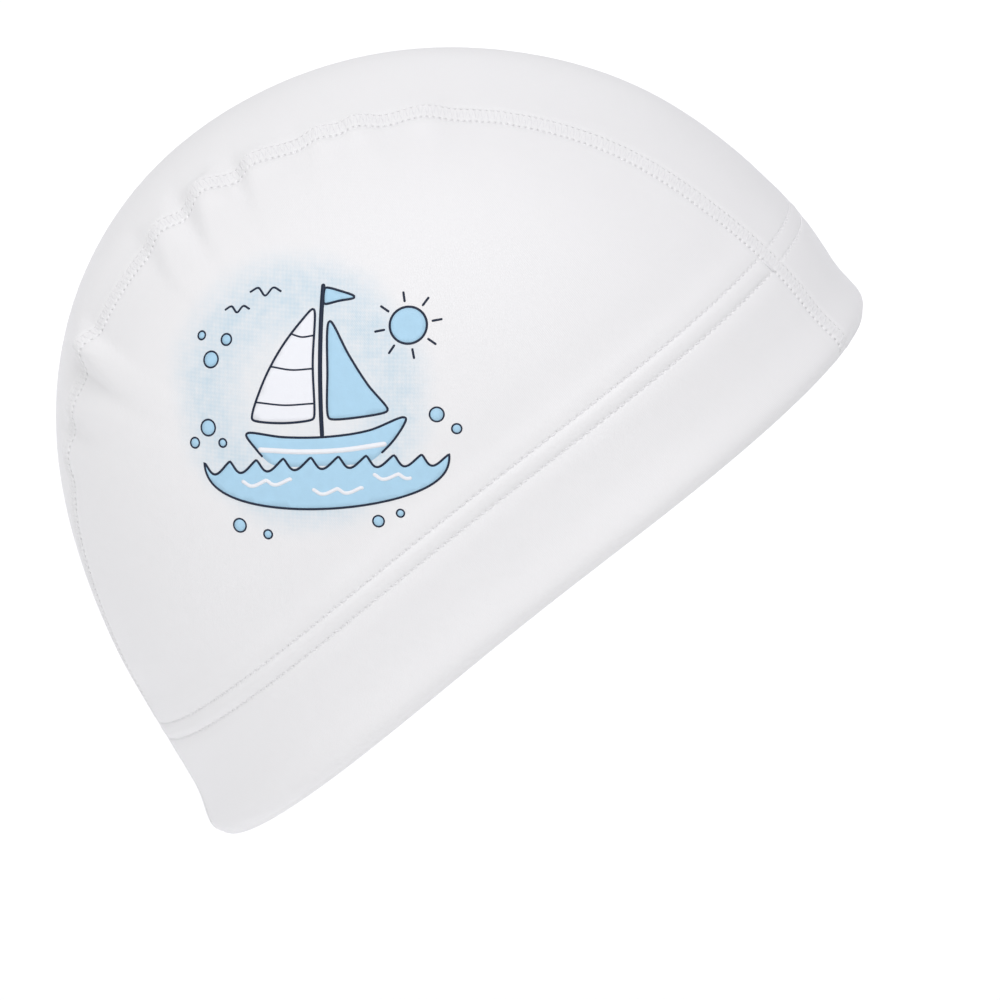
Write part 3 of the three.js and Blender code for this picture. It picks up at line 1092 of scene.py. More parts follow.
@dataclass
class HemStitching:
    """The threads of a panel's hem: two rows of needle thread outside, and the loops that join them inside.

    Attributes:
        panel: the panel that they hold.
        place: gives directions for heights and places along the hem.
        count: the stitches in each row.
        margin: the stitches left out next to each seam.
        lifts: how far a dash's ends and its middle stand off the cloth.
        looper_reach: how far the thread inside swings beyond the rows.
    """

    panel: Panel
    place: Callable[[Array, Array], Array]
    count: int
    margin: int = 1
    steps: int = 7
    lifts: Pair = (-0.36, -0.05)
    looper_thread: float = 0.15
    looper_reach: float = 0.4
    looper_gap: float = 0.08

    def outer_threads(self) -> Solid:
        """The dashes of needle thread on the outside, each dipping into a hole at both ends.

        Returns:
            The dashes of both rows.
        """
        stitch = self.panel.stitch
        share = np.linspace(0, 1, self.steps)[None, :]
        along = np.arange(self.margin, self.count - self.margin + 1)[:, None] + mix(*stitch.dash, share)
        parts = []
        for row, slant in zip(self.panel.stitch_rows(), stitch.slants):
            above = row + slant * (share * 2 - 1) + 0 * along
            n = self.place(above, along)
            lift = self.panel.form.cloth_lift(n, above) + mix(*self.lifts, np.sin(math.pi * share) ** 0.6)
            parts.append(tubes(*self.panel.form.outside(n, lift), stitch.thread))
        return Solid.joined(parts)

    def inner_threads(self) -> Solid:
        """The looper thread on the inside, which runs to and fro between the two rows.

        Returns:
            One long thread.
        """
        form, (lower, upper) = self.panel.form, self.panel.stitch_rows()
        first, last = 2 * self.margin, 2 * (self.count - self.margin)
        along = np.linspace(first, last, 4 * (last - first) + 1)
        swing = smoothstep(np.abs((along % 2) - 1), 0.0, 1.0)
        above = mix(lower - self.looper_reach, upper + self.looper_reach, swing)
        n = self.place(above, along / 2)
        paths, normals = form.outside(n, form.cloth_lift(n, above) - form.hem_wall - self.looper_gap)
        return tubes(paths[None], normals[None], self.looper_thread)


@dataclass(frozen=True)
class CoverStitch:
    """A row of like threads on the outside of a seam, one to each stitch.

    Attributes:
        away: where a thread starts and ends across the seam, in millimetres towards the side panel.
        along: where it starts and ends along the seam, in stitches from its own.
        lifts: how far its ends and its middle stand off the cloth.
        radius: the thread's radius.
        roundness: the power of its arch, lower where it is flatter on top.
    """

    away: Pair
    along: Pair
    lifts: Pair
    radius: float
    roundness: float = 0.5
    steps: int = 8


@dataclass
class FlatlockSeam:
    """One flatlock seam: the joined cloth edges as a low strip, and the cover threads on both faces.

    Attributes:
        half_width: half the width of the strip, whose edges tuck into the panels.
        shoulder: how far from the middle the strip starts to round off.
        lift: how far its middle stands off the cloth.
        thin_rows: the rows that the inside keeps.
        needles: where the two needles' holes lie across the strip.
        hole_starts: how far along the seam each needle's first hole lies, in stitches.
        covers: the threads on the outside.
        bar_away: where the bar at the hem's corner lies across the seam.
        bar_foot: where across the seam the places of the hem's rows are taken for it.
        bar_ends: how far above the hem's lower and upper row it ends.
        looper_reach: how far the loops inside reach to either side.
        extra_wall: how much thicker than a panel the strip is.
        thinning: how far from the middle the strip starts to thin out.
        hem_end: the heights, off the hem's top, between which the wall falls to a panel's.
        fold_rings: the steps in which its edges turn from the outside to the inside.
    """

    form: CapForm
    side: Side
    half_width: float = 2.5
    shoulder: float = 2.05
    lift: float = 0.16
    edge_lift: float = -0.22
    pitch: float = 1.35
    per_stitch: int = 8
    across: int = 21
    thin_rows: tuple[int, ...] = (0, 1, 4, 7, 10, 13, 16, 19, 20)
    needles: Pair = (-1.95, 2.0)
    hole_starts: Pair = (0.0, 0.5)
    hole_depths: Pair = (0.7, 0.75)
    hole_half_widths: Pair = (0.48, 0.5)
    hole_half_length: float = 0.46
    covers: tuple[CoverStitch, ...] = (
        CoverStitch((1.75, -1.7), (0.55, 0.92), (-0.1, 0.16), 0.12),
        CoverStitch((-1.7, 1.75), (1.08, 1.45), (-0.1, 0.13), 0.102),
        CoverStitch((-2.08, -1.86), (1.16, 1.84), (-0.2, 0.07), 0.11, roundness=0.6, steps=6),
        CoverStitch((2.16, 1.96), (0.68, 1.32), (-0.25, 0.02), 0.11, roundness=0.6, steps=6),
    )
    bar_away: float = 2.3
    bar_foot: float = 1.8
    bar_ends: Pair = (-0.2, -0.7)
    bar_spread: float = 0.16
    bar_bulge: float = 0.15
    bar_lifts: Pair = (-0.15, 0.26)
    bar_radius: float = 0.24
    looper_reach: float = 1.9
    looper_thread: float = 0.15
    looper_sag: float = 0.04
    extra_wall: float = 0.45
    tucked_wall: float = -0.2
    thinning: float = 1.6
    hem_end: Pair = (-0.3, 0.6)
    fold_rings: int = 6

    def __post_init__(self) -> None:
        """Sets out the stitches at equal lengths along the seam, from the front rim to the back."""
        self.aways = np.linspace(-self.half_width, self.half_width, self.across)

        def lines(angles: Array) -> Array:
            """Each row's distance from the middle of the cap."""
            return self.side.value * (self.form.seam_half_width(angles) + self.aways[:, None])

        ends = [self.form.crossings(lines, np.zeros(1), end)[:, 0] for end in End]
        self.front, self.back = ends
        middle = self.across // 2
        dense = np.linspace(0, 1, 4001)
        angles = mix(self.front[middle], self.back[middle], dense)
        points = self.form.point(self.form.beside_seam(angles, self.side, 0.0))
        length = np.concatenate([[0], np.cumsum(np.linalg.norm(np.diff(points, axis=0), axis=-1))])
        self.length = float(length[-1])
        self.count = round(self.length / self.pitch)
        self._even = (length / length[-1], dense)

    def place(self, away: Array, stitch: Array) -> tuple[Array, Array]:
        """Directions off the seam's centre line and their heights above the rim.

        Args:
            away: millimetres towards the side panel.
            stitch: the place along the seam, in stitches from the front rim.

        Returns:
            Unit directions, and millimetres of cloth above the rim.
        """
        share = np.interp(stitch / self.count, *self._even)
        front, back = (np.interp(away, self.aways, ends) for ends in (self.front, self.back))
        n = self.form.beside_seam(mix(front, back, share), self.side, away)
        return n, self.form.above(n)

    def base_lift(self, n: Array, above: Array) -> Array:
        """The lift of the cloth under the strip, without the tuck along the panels' edges."""
        return self.form.pucker(n) + self.form.rim_lift(above)

    def wall(self, above: Array) -> Array:
        """The thickness of the panels beside the strip, which is greater along the hem."""
        past = smoothstep(above - self.form.hem_top, *self.hem_end)
        return mix(self.form.hem_wall, self.form.wall, past)

    def relief(self, away: Array, stitch: Array) -> Array:
        """The strip's own relief: its rounded edges and its needle holes.

        Args:
            away: millimetres towards the side panel.
            stitch: the place along the seam, in stitches.

        Returns:
            The lift off the cloth, in millimetres.
        """
        relief = mix(self.lift, self.edge_lift, smoothstep(np.abs(away), self.shoulder, self.half_width))
        holes = zip(self.needles, self.hole_depths, self.hole_half_widths, self.hole_starts)
        for needle, depth, half_width, start in holes:
            along = np.abs(stitch - start - np.round(stitch - start)) * self.pitch
            relief = relief - depth * bump((away - needle) / half_width) * bump(along / self.hole_half_length)
        return relief

    def skin(self, patch: Patch, inward: bool) -> Skin:
        """One face of the strip.

        Args:
            patch: its grid of stations.
            inward: whether it is the inside, rather than the outside with its needle holes.

        Returns:
            The face.
        """
        away, stitch = self.aways[patch.rows], patch.columns / self.per_stitch
        n, above = self.place(away, stitch)
        relief = 0.0 if inward else self.relief(away, stitch)
        points, normals = self.form.outside(n, self.base_lift(n, above) + relief)
        if inward:
            edge = smoothstep(np.abs(away), self.thinning, self.half_width)
            wall = self.wall(above) + mix(self.extra_wall, self.tucked_wall, edge)
            points = points - normals * wall[:, None]
        return Skin(patch, points, normals, above, np.stack([stitch * self.pitch, away], -1))

    def strip(self) -> Solid:
        """The closed strip of joined cloth edges.

        Returns:
            The strip.
        """
        last = self.count * self.per_stitch
        rows, columns = np.meshgrid(np.arange(self.across), np.arange(last + 1), indexing="ij")
        outer = Patch(rows, columns)
        kept = nearest(np.array([0, *range(1, last - 1, 2), last - 1, last]), last + 1)
        thin = nearest(np.array(self.thin_rows), self.across)
        edge_rows = np.array([0, self.across - 1])
        thin_rows = np.repeat(thin[:, None], last + 1, axis=1)
        thin_rows[:, [0, -1]] = rows[:, [0, -1]]
        thin_columns = np.repeat(kept[None, :], self.across, axis=0)
        thin_columns[edge_rows] = columns[edge_rows]
        inner = Patch(thin_rows, thin_columns)
        return closed_cloth(self.form, self.skin(outer, False), self.skin(inner, True), self.fold_rings)

    def _threads(self, away: Array, stitch: Array, lift: Array, radius: float) -> Solid:
        """Threads that run along places on the strip.

        Args:
            away: the places across the strip, threads by points.
            stitch: the places along it, in stitches.
            lift: how far they stand off the cloth under it.
            radius: the threads' radius.

        Returns:
            The threads.
        """
        n, above = self.place(away, stitch)
        paths, normals = self.form.outside(n, self.base_lift(n, above) + lift)
        return tubes(paths, normals, radius)

    def outer_threads(self) -> Solid:
        """The cover thread's slanted legs, the needle threads along both edges and the bar at the corner.

        Returns:
            The threads.
        """
        first = np.arange(0, self.count - 1)[:, None]
        parts = []
        for cover in self.covers:
            share = np.linspace(0, 1, cover.steps)[None, :]
            lift = mix(*cover.lifts, np.sin(math.pi * share) ** cover.roundness) + 0 * first
            away, stitch = mix(*cover.away, share) + 0 * first, first + mix(*cover.along, share)
            parts.append(self._threads(away, stitch, lift, cover.radius))
        return Solid.joined([*parts, self.corner_bar()])

    def corner_bar(self) -> Solid:
        """The heavier bar of thread beside the seam, between the hem's two rows of stitches at the front.

        Returns:
            The bar's two strands.
        """
        samples = 800
        stitches = np.linspace(0, self.count / 2, samples)
        above = self.place(np.full(samples, self.bar_foot), stitches)[1]
        ends = np.array((self.form.lower_row, self.form.upper_row)) + self.bar_ends
        low, high = np.interp(ends, above, stitches)
        share = np.linspace(0, 1, 10)[None, :]
        strands = np.array([-self.bar_spread, self.bar_spread])[:, None]
        away = self.bar_away + strands + self.bar_bulge * np.sin(math.pi * share)
        lift = mix(*self.bar_lifts, np.sin(math.pi * share) ** 0.4) + 0 * strands
        return self._threads(away, mix(low, high, share) + 0 * strands, lift, self.bar_radius)

    def inner_threads(self) -> Solid:
        """The looper threads on the inside, which cross the strip in open loops.

        Returns:
            The threads.
        """
        share = np.linspace(0, 1, 7)[None, :]
        first = np.arange(1, self.count - 2)[:, None]
        parts = []
        for reach, start in ((self.looper_reach, 0.0), (-self.looper_reach, 0.5)):
            away = mix(-reach, reach, share) + 0 * first
            stitch = first + start + 0.5 * share
            sag = self.looper_sag * np.sin(math.pi * share)
            lift = -self.wall(self.place(away, stitch)[1]) - self.extra_wall - sag
            parts.append(self._threads(away, stitch, lift, self.looper_thread))
        return Solid.joined(parts)


class Nodes:
    """A short way to add shader nodes and join them."""

    def __init__(self, name: str) -> None:
        """Makes an empty node material.

        Args:
            name: the material's name.
        """
        self.material = bpy.data.materials.new(name)
        self.material.use_nodes = True
        self.tree = self.material.node_tree
        self.tree.nodes.clear()

    def add(self, kind: str, links: dict | None = None, **values: object) -> bpy.types.Node:
        """Adds a node.

        Args:
            kind: the node's type, without its ShaderNode prefix.
            links: input names or numbers, each with the output socket that feeds it or its constant.
            values: the node's own settings.

        Returns:
            The new node.
        """
        node = self.tree.nodes.new("ShaderNode" + kind)
        for key, value in values.items():
            setattr(node, key, value)
        for key, value in (links or {}).items():
            if isinstance(value, Socket):
                self.tree.links.new(value, node.inputs[key])
            else:
                node.inputs[key].default_value = value
        return node

    def maths(self, operation: str, *terms: object, clamp: bool = False) -> Socket:
        """The output of a Math node on sockets or numbers."""
        node = self.add("Math", dict(enumerate(terms)), operation=operation, use_clamp=clamp)
        return node.outputs[0]

    def blend(self, factor: object, a: object, b: object) -> Socket:
        """The colour a share of the way from a to b."""
        node = self.add("Mix", {0: factor, 6: a, 7: b}, data_type="RGBA")
        return node.outputs[2]

    def ramp(self, value: Socket, place: Pair, share: Pair) -> Socket:
        """A smooth passage from one number to another.

        Args:
            value: what it follows.
            place: the values at which it starts and ends.
            share: the numbers there.

        Returns:
            The output.
        """
        ends = {"From Min": place[0], "From Max": place[1], "To Min": share[0], "To Max": share[1]}
        node = self.add("MapRange", {"Value": value, **ends}, interpolation_type="SMOOTHSTEP")
        return node.outputs[0]

    def surface(self, shader: Socket) -> bpy.types.Material:
        """Ends the material with its surface."""
        self.add("OutputMaterial", {"Surface": shader})
        return self.material


def colour(red: int, green: int, blue: int) -> Colour:
    """A display colour from 0 to 255 as linear light."""
    linear = [((c / 255 + 0.055) / 1.055) ** 2.4 if c > 10 else c / 255 / 12.92 for c in (red, green, blue)]
    return (*linear, 1.0)


def shaded(shade: Colour, by: float) -> Colour:
    """A colour made darker or lighter by a factor."""
    return (*(min(1.0, c * by) for c in shade[:3]), 1.0)


@dataclass(frozen=True)
class Glow:
    """The soft pale blue ground of the print: an oval of fine crossed lines that fades at its edge.

    Attributes:
        centre: its middle, in metres from the origin.
        radii: its half width and half height, in metres.
        wander: how far its edge strays, as a share of its radii.
        rim: where it starts to fade and where it ends, as shares of its radii.
        heart: where its paler heart ends, likewise.
        heart_share: the share of the tint in the heart.
    """

    centre: Triple
    radii: Pair
    tint: Colour
    line_pitch: float = 0.9
    wander: float = 0.22
    rim: Pair = (0.72, 1.04)
    heart: Pair = (0.30, 0.66)
    heart_share: float = 0.25
    line_share: float = 0.07
    base_share: float = 0.16


@dataclass(frozen=True)
class CoatedKnit:
    """A smooth coated stretch knit: matte white with a soft sheen and a barely seen knit.

    Attributes:
        wale: the width of a column of loops, in millimetres.
        course: the height of a row of loops, in millimetres.
        knit_depth: the depth of the knit's relief, in millimetres.
        painted_gap_shade: painted shade in the gaps between the loops, as the share by which it darkens the
            colour there.
        glow: the printed ground on it.
    """

    name: str
    shade: Colour
    roughness: float = 0.52
    sheen: float = 0.25
    wale: float = 0.42
    course: float = 0.34
    knit_depth: float = 0.045
    painted_gap_shade: float = 0.035
    glow: Glow | None = None

    def make(self) -> bpy.types.Material:
        """Makes the material.

        Returns:
            The node material.
        """
        nodes = Nodes(self.name)
        flat = nodes.add("UVMap", uv_map="cloth").outputs[0]
        spot = nodes.add("TexCoord").outputs["Object"]
        wales = nodes.add("TexWave", {"Vector": flat, "Scale": BANDS / self.wale}, bands_direction="X")
        courses = nodes.add(
            "TexWave",
            {"Vector": flat, "Scale": BANDS / self.course, "Distortion": 0.6, "Detail Scale": 1.4},
            bands_direction="Y",
        )
        knit = nodes.maths("MULTIPLY", wales.outputs["Fac"], courses.outputs["Fac"])
        grain = nodes.add("TexNoise", {"Vector": spot, "Scale": 1500.0, "Detail": 2.0})
        cloudy = nodes.add("TexNoise", {"Vector": spot, "Scale": 38.0, "Detail": 2.0, "Roughness": 0.45})
        height = nodes.maths("ADD", knit, nodes.maths("MULTIPLY", grain.outputs["Fac"], 0.3))
        shade = nodes.blend(cloudy.outputs["Fac"], shaded(self.shade, 0.985), shaded(self.shade, 1.012))
        # Painted shade: the colour darkens in the gaps between the knit's loops, where shade would fall.
        painted_shade = nodes.maths("MULTIPLY", nodes.maths("SUBTRACT", 1.0, knit), self.painted_gap_shade)
        shade = nodes.blend(painted_shade, shade, shaded(self.shade, 0.72))
        if self.glow:
            shade = self._tinted(nodes, spot, shade)
        least, most = self.roughness - 0.05, self.roughness + 0.06
        rough = nodes.add("MapRange", {"Value": cloudy.outputs["Fac"], "To Min": least, "To Max": most})
        relief = nodes.add("Bump", {"Height": height, "Strength": 0.35, "Distance": self.knit_depth * MM})
        coat = nodes.add(
            "BsdfPrincipled",
            {
                "Base Color": shade,
                "Roughness": rough.outputs[0],
                "Normal": relief.outputs[0],
                "Specular IOR Level": 0.32,
                "Sheen Weight": self.sheen,
                "Sheen Roughness": 0.45,
                "Sheen Tint": (0.95, 0.96, 1.0, 1.0),
            },
        )
        return nodes.surface(coat.outputs[0])

    def _tinted(self, nodes: Nodes, spot: Socket, shade: Socket) -> Socket:
        """The cloth's colour with the print's pale ground over it.

        Args:
            nodes: the material in the making.
            spot: the place on the cap.
            shade: the cloth's own colour.

        Returns:
            The tinted colour.
        """
        glow = self.glow
        wide, high = glow.radii
        off = nodes.add("VectorMath", {0: spot, 1: glow.centre}, operation="SUBTRACT").outputs[0]
        scale = (1 / wide, 0.0, 1 / high)
        oval = nodes.add("VectorMath", {0: off, 1: scale}, operation="MULTIPLY").outputs[0]
        stray = nodes.add("TexNoise", {"Vector": spot, "Scale": 55.0, "Detail": 3.0}).outputs["Fac"]
        away = nodes.add("VectorMath", {0: oval}, operation="LENGTH").outputs["Value"]
        stray = nodes.maths("MULTIPLY", nodes.maths("SUBTRACT", stray, 0.5), glow.wander)
        away = nodes.maths("ADD", away, stray)
        fade = nodes.ramp(away, glow.rim, (1.0, 0.0))
        heart = nodes.ramp(away, glow.heart, (glow.heart_share, 1.0))
        parts = nodes.add("SeparateXYZ", {0: off})
        turn = 2 * math.pi / (glow.line_pitch * MM)
        crossed = [
            nodes.maths("SINE", nodes.maths("MULTIPLY", parts.outputs[axis], turn)) for axis in ("X", "Z")
        ]
        patchy = nodes.add("TexNoise", {"Vector": spot, "Scale": 420.0, "Detail": 3.0}).outputs["Fac"]
        base = nodes.maths("ADD", patchy, glow.base_share)
        lines = nodes.maths("MULTIPLY_ADD", nodes.maths("ADD", *crossed), glow.line_share, base)
        near = nodes.maths("LESS_THAN", nodes.add("SeparateXYZ", {0: spot}).outputs["Y"], 0.0)
        printed = nodes.maths("MULTIPLY", nodes.maths("MULTIPLY", fade, heart), near)
        return nodes.blend(nodes.maths("MULTIPLY", printed, lines, clamp=True), shade, glow.tint)


@dataclass(frozen=True)
class Thread:
    """Soft textured polyester thread, whose plies turn round once in each twist of so many millimetres."""

    name: str
    shade: Colour
    twist: float = 0.3

    def make(self) -> bpy.types.Material:
        """Makes the material.

        Returns:
            The node material.
        """
        nodes = Nodes(self.name)
        flat = nodes.add("UVMap", uv_map="cloth").outputs[0]
        parts = nodes.add("SeparateXYZ", {0: flat})
        along = nodes.maths("MULTIPLY", parts.outputs["X"], 2 * math.pi / self.twist)
        around = nodes.maths("MULTIPLY", parts.outputs["Y"], 4 * math.pi)
        plies = nodes.maths("MULTIPLY_ADD", nodes.maths("SINE", nodes.maths("ADD", along, around)), 0.5, 0.5)
        spot = nodes.add("TexCoord").outputs["Object"]
        fuzz = nodes.add("TexNoise", {"Vector": spot, "Scale": 900.0, "Detail": 2.0})
        # Partly painted shade: the colour darkens in the grooves between the plies, where shade would fall;
        # the fuzz adds a random tone of its own.
        shade = nodes.blend(
            nodes.maths("MULTIPLY_ADD", plies, 0.7, nodes.maths("MULTIPLY", fuzz.outputs["Fac"], 0.3)),
            shaded(self.shade, 0.93),
            self.shade,
        )
        relief = nodes.add("Bump", {"Height": plies, "Strength": 0.4, "Distance": 0.03 * MM})
        rough = nodes.add("MapRange", {"Value": fuzz.outputs["Fac"], "To Min": 0.5, "To Max": 0.7})
        yarn = nodes.add(
            "BsdfPrincipled",
            {
                "Base Color": shade,
                "Roughness": rough.outputs[0],
                "Normal": relief.outputs[0],
                "Sheen Weight": 0.2,
                "Specular IOR Level": 0.3,
            },
        )
        return nodes.surface(yarn.outputs[0])


@dataclass(frozen=True)
class Ink:
    """A flat stretch ink on the knit, whose colour strays by its mottle to either side."""

    name: str
    shade: Colour
    mottle: float = 0.06

    def make(self) -> bpy.types.Material:
        """Makes the material.

        Returns:
            The node material.
        """
        nodes = Nodes(self.name)
        spot = nodes.add("TexCoord").outputs["Object"]
        mottled = nodes.add("TexNoise", {"Vector": spot, "Scale": 420.0, "Detail": 4.0, "Roughness": 0.6})
        knit = nodes.add("TexVoronoi", {"Vector": spot, "Scale": 2600.0})
        low, high = (shaded(self.shade, 1 + stray) for stray in (-self.mottle, self.mottle))
        shade = nodes.blend(mottled.outputs["Fac"], low, high)
        relief = nodes.add(
            "Bump", {"Height": knit.outputs["Distance"], "Strength": 0.25, "Distance": 0.05 * MM}
        )
        rough = nodes.add("MapRange", {"Value": mottled.outputs["Fac"], "To Min": 0.45, "To Max": 0.6})
        film = nodes.add(
            "BsdfPrincipled",
            {
                "Base Color": shade,
                "Roughness": rough.outputs[0],
                "Normal": relief.outputs[0],
                "Specular IOR Level": 0.3,
            },
        )
        return nodes.surface(film.outputs[0])


def smooth_path(corners: Sequence[Pair], closed: bool = False, step: float = 0.3) -> Array:
    """A smooth path through points.

    Args:
        corners: the points, in millimetres.
        closed: whether the path returns to its start.
        step: the distance between the points of the path.

    Returns:
        Evenly spaced points; a closed path doesn't repeat its first.
    """
    p = np.array(corners, float)
    if closed:
        p = np.concatenate([p[-1:], p, p[:2]])
    else:
        p = np.concatenate([2 * p[:1] - p[1:2], p, 2 * p[-1:] - p[-2:-1]])
    knot = np.concatenate([[0], np.cumsum(np.linalg.norm(np.diff(p, axis=0), axis=1) ** 0.5)])
    parts = []
    for i in range(1, len(p) - 2):
        t = np.linspace(knot[i], knot[i + 1], 24, endpoint=False)[:, None]
        lines = [mix(p[k], p[k + 1], (t - knot[k]) / (knot[k + 1] - knot[k])) for k in (i - 1, i, i + 1)]
        first = mix(lines[0], lines[1], (t - knot[i - 1]) / (knot[i + 1] - knot[i - 1]))
        second = mix(lines[1], lines[2], (t - knot[i]) / (knot[i + 2] - knot[i]))
        parts.append(mix(first, second, (t - knot[i]) / (knot[i + 1] - knot[i])))
    dense = np.concatenate([*parts, p[-2:-1]])
    length = np.concatenate([[0], np.cumsum(np.linalg.norm(np.diff(dense, axis=0), axis=1))])
    count = max(4, round(length[-1] / step))
    places = np.linspace(0, length[-1], count + 1)
    even = np.stack([np.interp(places, length, dense[:, k]) for k in (0, 1)], -1)
    return even[:-1] if closed else even


@dataclass
class PrintGround:
    """Lays flat artwork on the cloth of a side panel.

    Attributes:
        middle: the artwork's middle on the cap, in millimetres from the origin.
        under: how far the underside of the ink stands off the cloth.
    """

    form: CapForm
    middle: Array
    under: float = -0.03

    def __post_init__(self) -> None:
        """Finds the artwork's axes on the cloth."""
        self.out = unit(self.middle - self.form.centre)
        self.radius = float(self.form.reach(self.out[None])[0])
        self.ahead = unit(np.array([1.0, 0.0, 0.0]) - self.out * self.out[0])
        self.up = np.cross(self.out, self.ahead)

    def lay(self, flat: Array, lift: float) -> Array:
        """Points of the artwork, laid on the cloth.

        Args:
            flat: the points, in millimetres ahead of its middle and above it.
            lift: how far they stand off the cloth.

        Returns:
            The points, from the origin.
        """
        off = np.linalg.norm(flat, axis=-1)
        arc = off / self.radius
        way = flat[..., :1] * self.ahead + flat[..., 1:2] * self.up
        n = self.out * np.cos(arc)[..., None] + way * (np.sin(arc) / np.maximum(off, 1e-9))[..., None]
        height = self.form.cloth_lift(n, self.form.above(n))
        return self.form.outside(n, height + lift)[0]

    def film(self, outline: Array, thickness: float, spacing: float = 1.3) -> Solid:
        """A closed film of ink that fills an outline.

        Args:
            outline: the outline's points.
            thickness: how far its top stands off the cloth.
            spacing: the distance between the points inside.

        Returns:
            The film.
        """
        low, high = outline.min(0), outline.max(0)
        axes = [np.arange(a, b, spacing) for a, b in zip(low, high)]
        grid = np.stack(np.meshgrid(*axes), -1).reshape(-1, 2)
        gap = np.linalg.norm(grid[:, None] - outline[None], axis=-1).min(axis=1)
        points = [Vector(p) for p in np.concatenate([outline, grid[gap > spacing * 0.6]]).tolist()]
        ring = list(range(len(outline)))
        made = geometry.delaunay_2d_cdt(points, [], [ring], 1, 1e-6)
        flat, faces = np.array([list(p) for p in made[0]]), [tuple(face) for face in made[2]]
        used = sorted({v for face in faces for v in face})
        number = {v: i for i, v in enumerate(used)}
        flat, faces = flat[used], [tuple(number[v] for v in face) for face in faces]
        count = len(flat)
        sides: dict[tuple[int, int], int] = {}
        for face in faces:
            for a, b in zip(face, face[1:] + face[:1]):
                sides[(a, b)] = sides.get((a, b), 0) + 1
        rim = [(a, b) for a, b in sides if (b, a) not in sides]
        walls = [(b, a, a + count, b + count) for a, b in rim]
        under = [tuple(v + count for v in reversed(face)) for face in faces]
        place = np.concatenate([self.lay(flat, thickness), self.lay(flat, self.under)])
        return Solid(place, faces + under + walls, np.concatenate([flat, flat])).outward()

    def stroke(self, path: Array, width: float, thickness: float, closed: bool = False) -> Solid:
        """A closed ribbon of ink along a path, with rounded ends.

        Args:
            path: the path's points.
            width: the ribbon's width.
            thickness: how far its top stands off the cloth.
            closed: whether the path returns to its start.

        Returns:
            The ribbon.
        """
        if closed:
            tangent = np.roll(path, -1, axis=0) - np.roll(path, 1, axis=0)
            half = np.full(len(path), width / 2)
        else:
            lead = unit(path[0] - path[1]) * width / 2
            tail = unit(path[-1] - path[-2]) * width / 2
            out, cap = np.array([0.97, 0.8, 0.45])[:, None], np.array([0.25, 0.6, 0.9]) * width / 2
            half = np.concatenate([cap, np.full(len(path), width / 2), cap[::-1]])
            path = np.concatenate([path[0] + lead * out, path, path[-1] + tail * out[::-1]])
            tangent = np.gradient(path, axis=0)
        aside = unit(np.stack([-tangent[:, 1], tangent[:, 0]], -1)) * half[:, None]
        left, right = path + aside, path - aside
        over, under = ([self.lay(edge, lift) for edge in (left, right)] for lift in (thickness, self.under))
        rings = np.stack([*over, *under[::-1]], axis=1)
        count = len(path)
        number = np.arange(count * 4).reshape(count, 4)
        low, high = (number, np.roll(number, -1, axis=0)) if closed else (number[:-1], number[1:])
        walls = np.stack([low, np.roll(low, -1, axis=1), np.roll(high, -1, axis=1), high], -1).reshape(-1, 4)
        faces = [tuple(face) for face in walls.tolist()]
        if not closed:
            faces += [tuple(number[0, ::-1].tolist()), tuple(number[-1].tolist())]
        flat = np.stack([left, right, right, left], axis=1).reshape(-1, 2)
        return Solid(rings.reshape(-1, 3), faces, flat).outward()


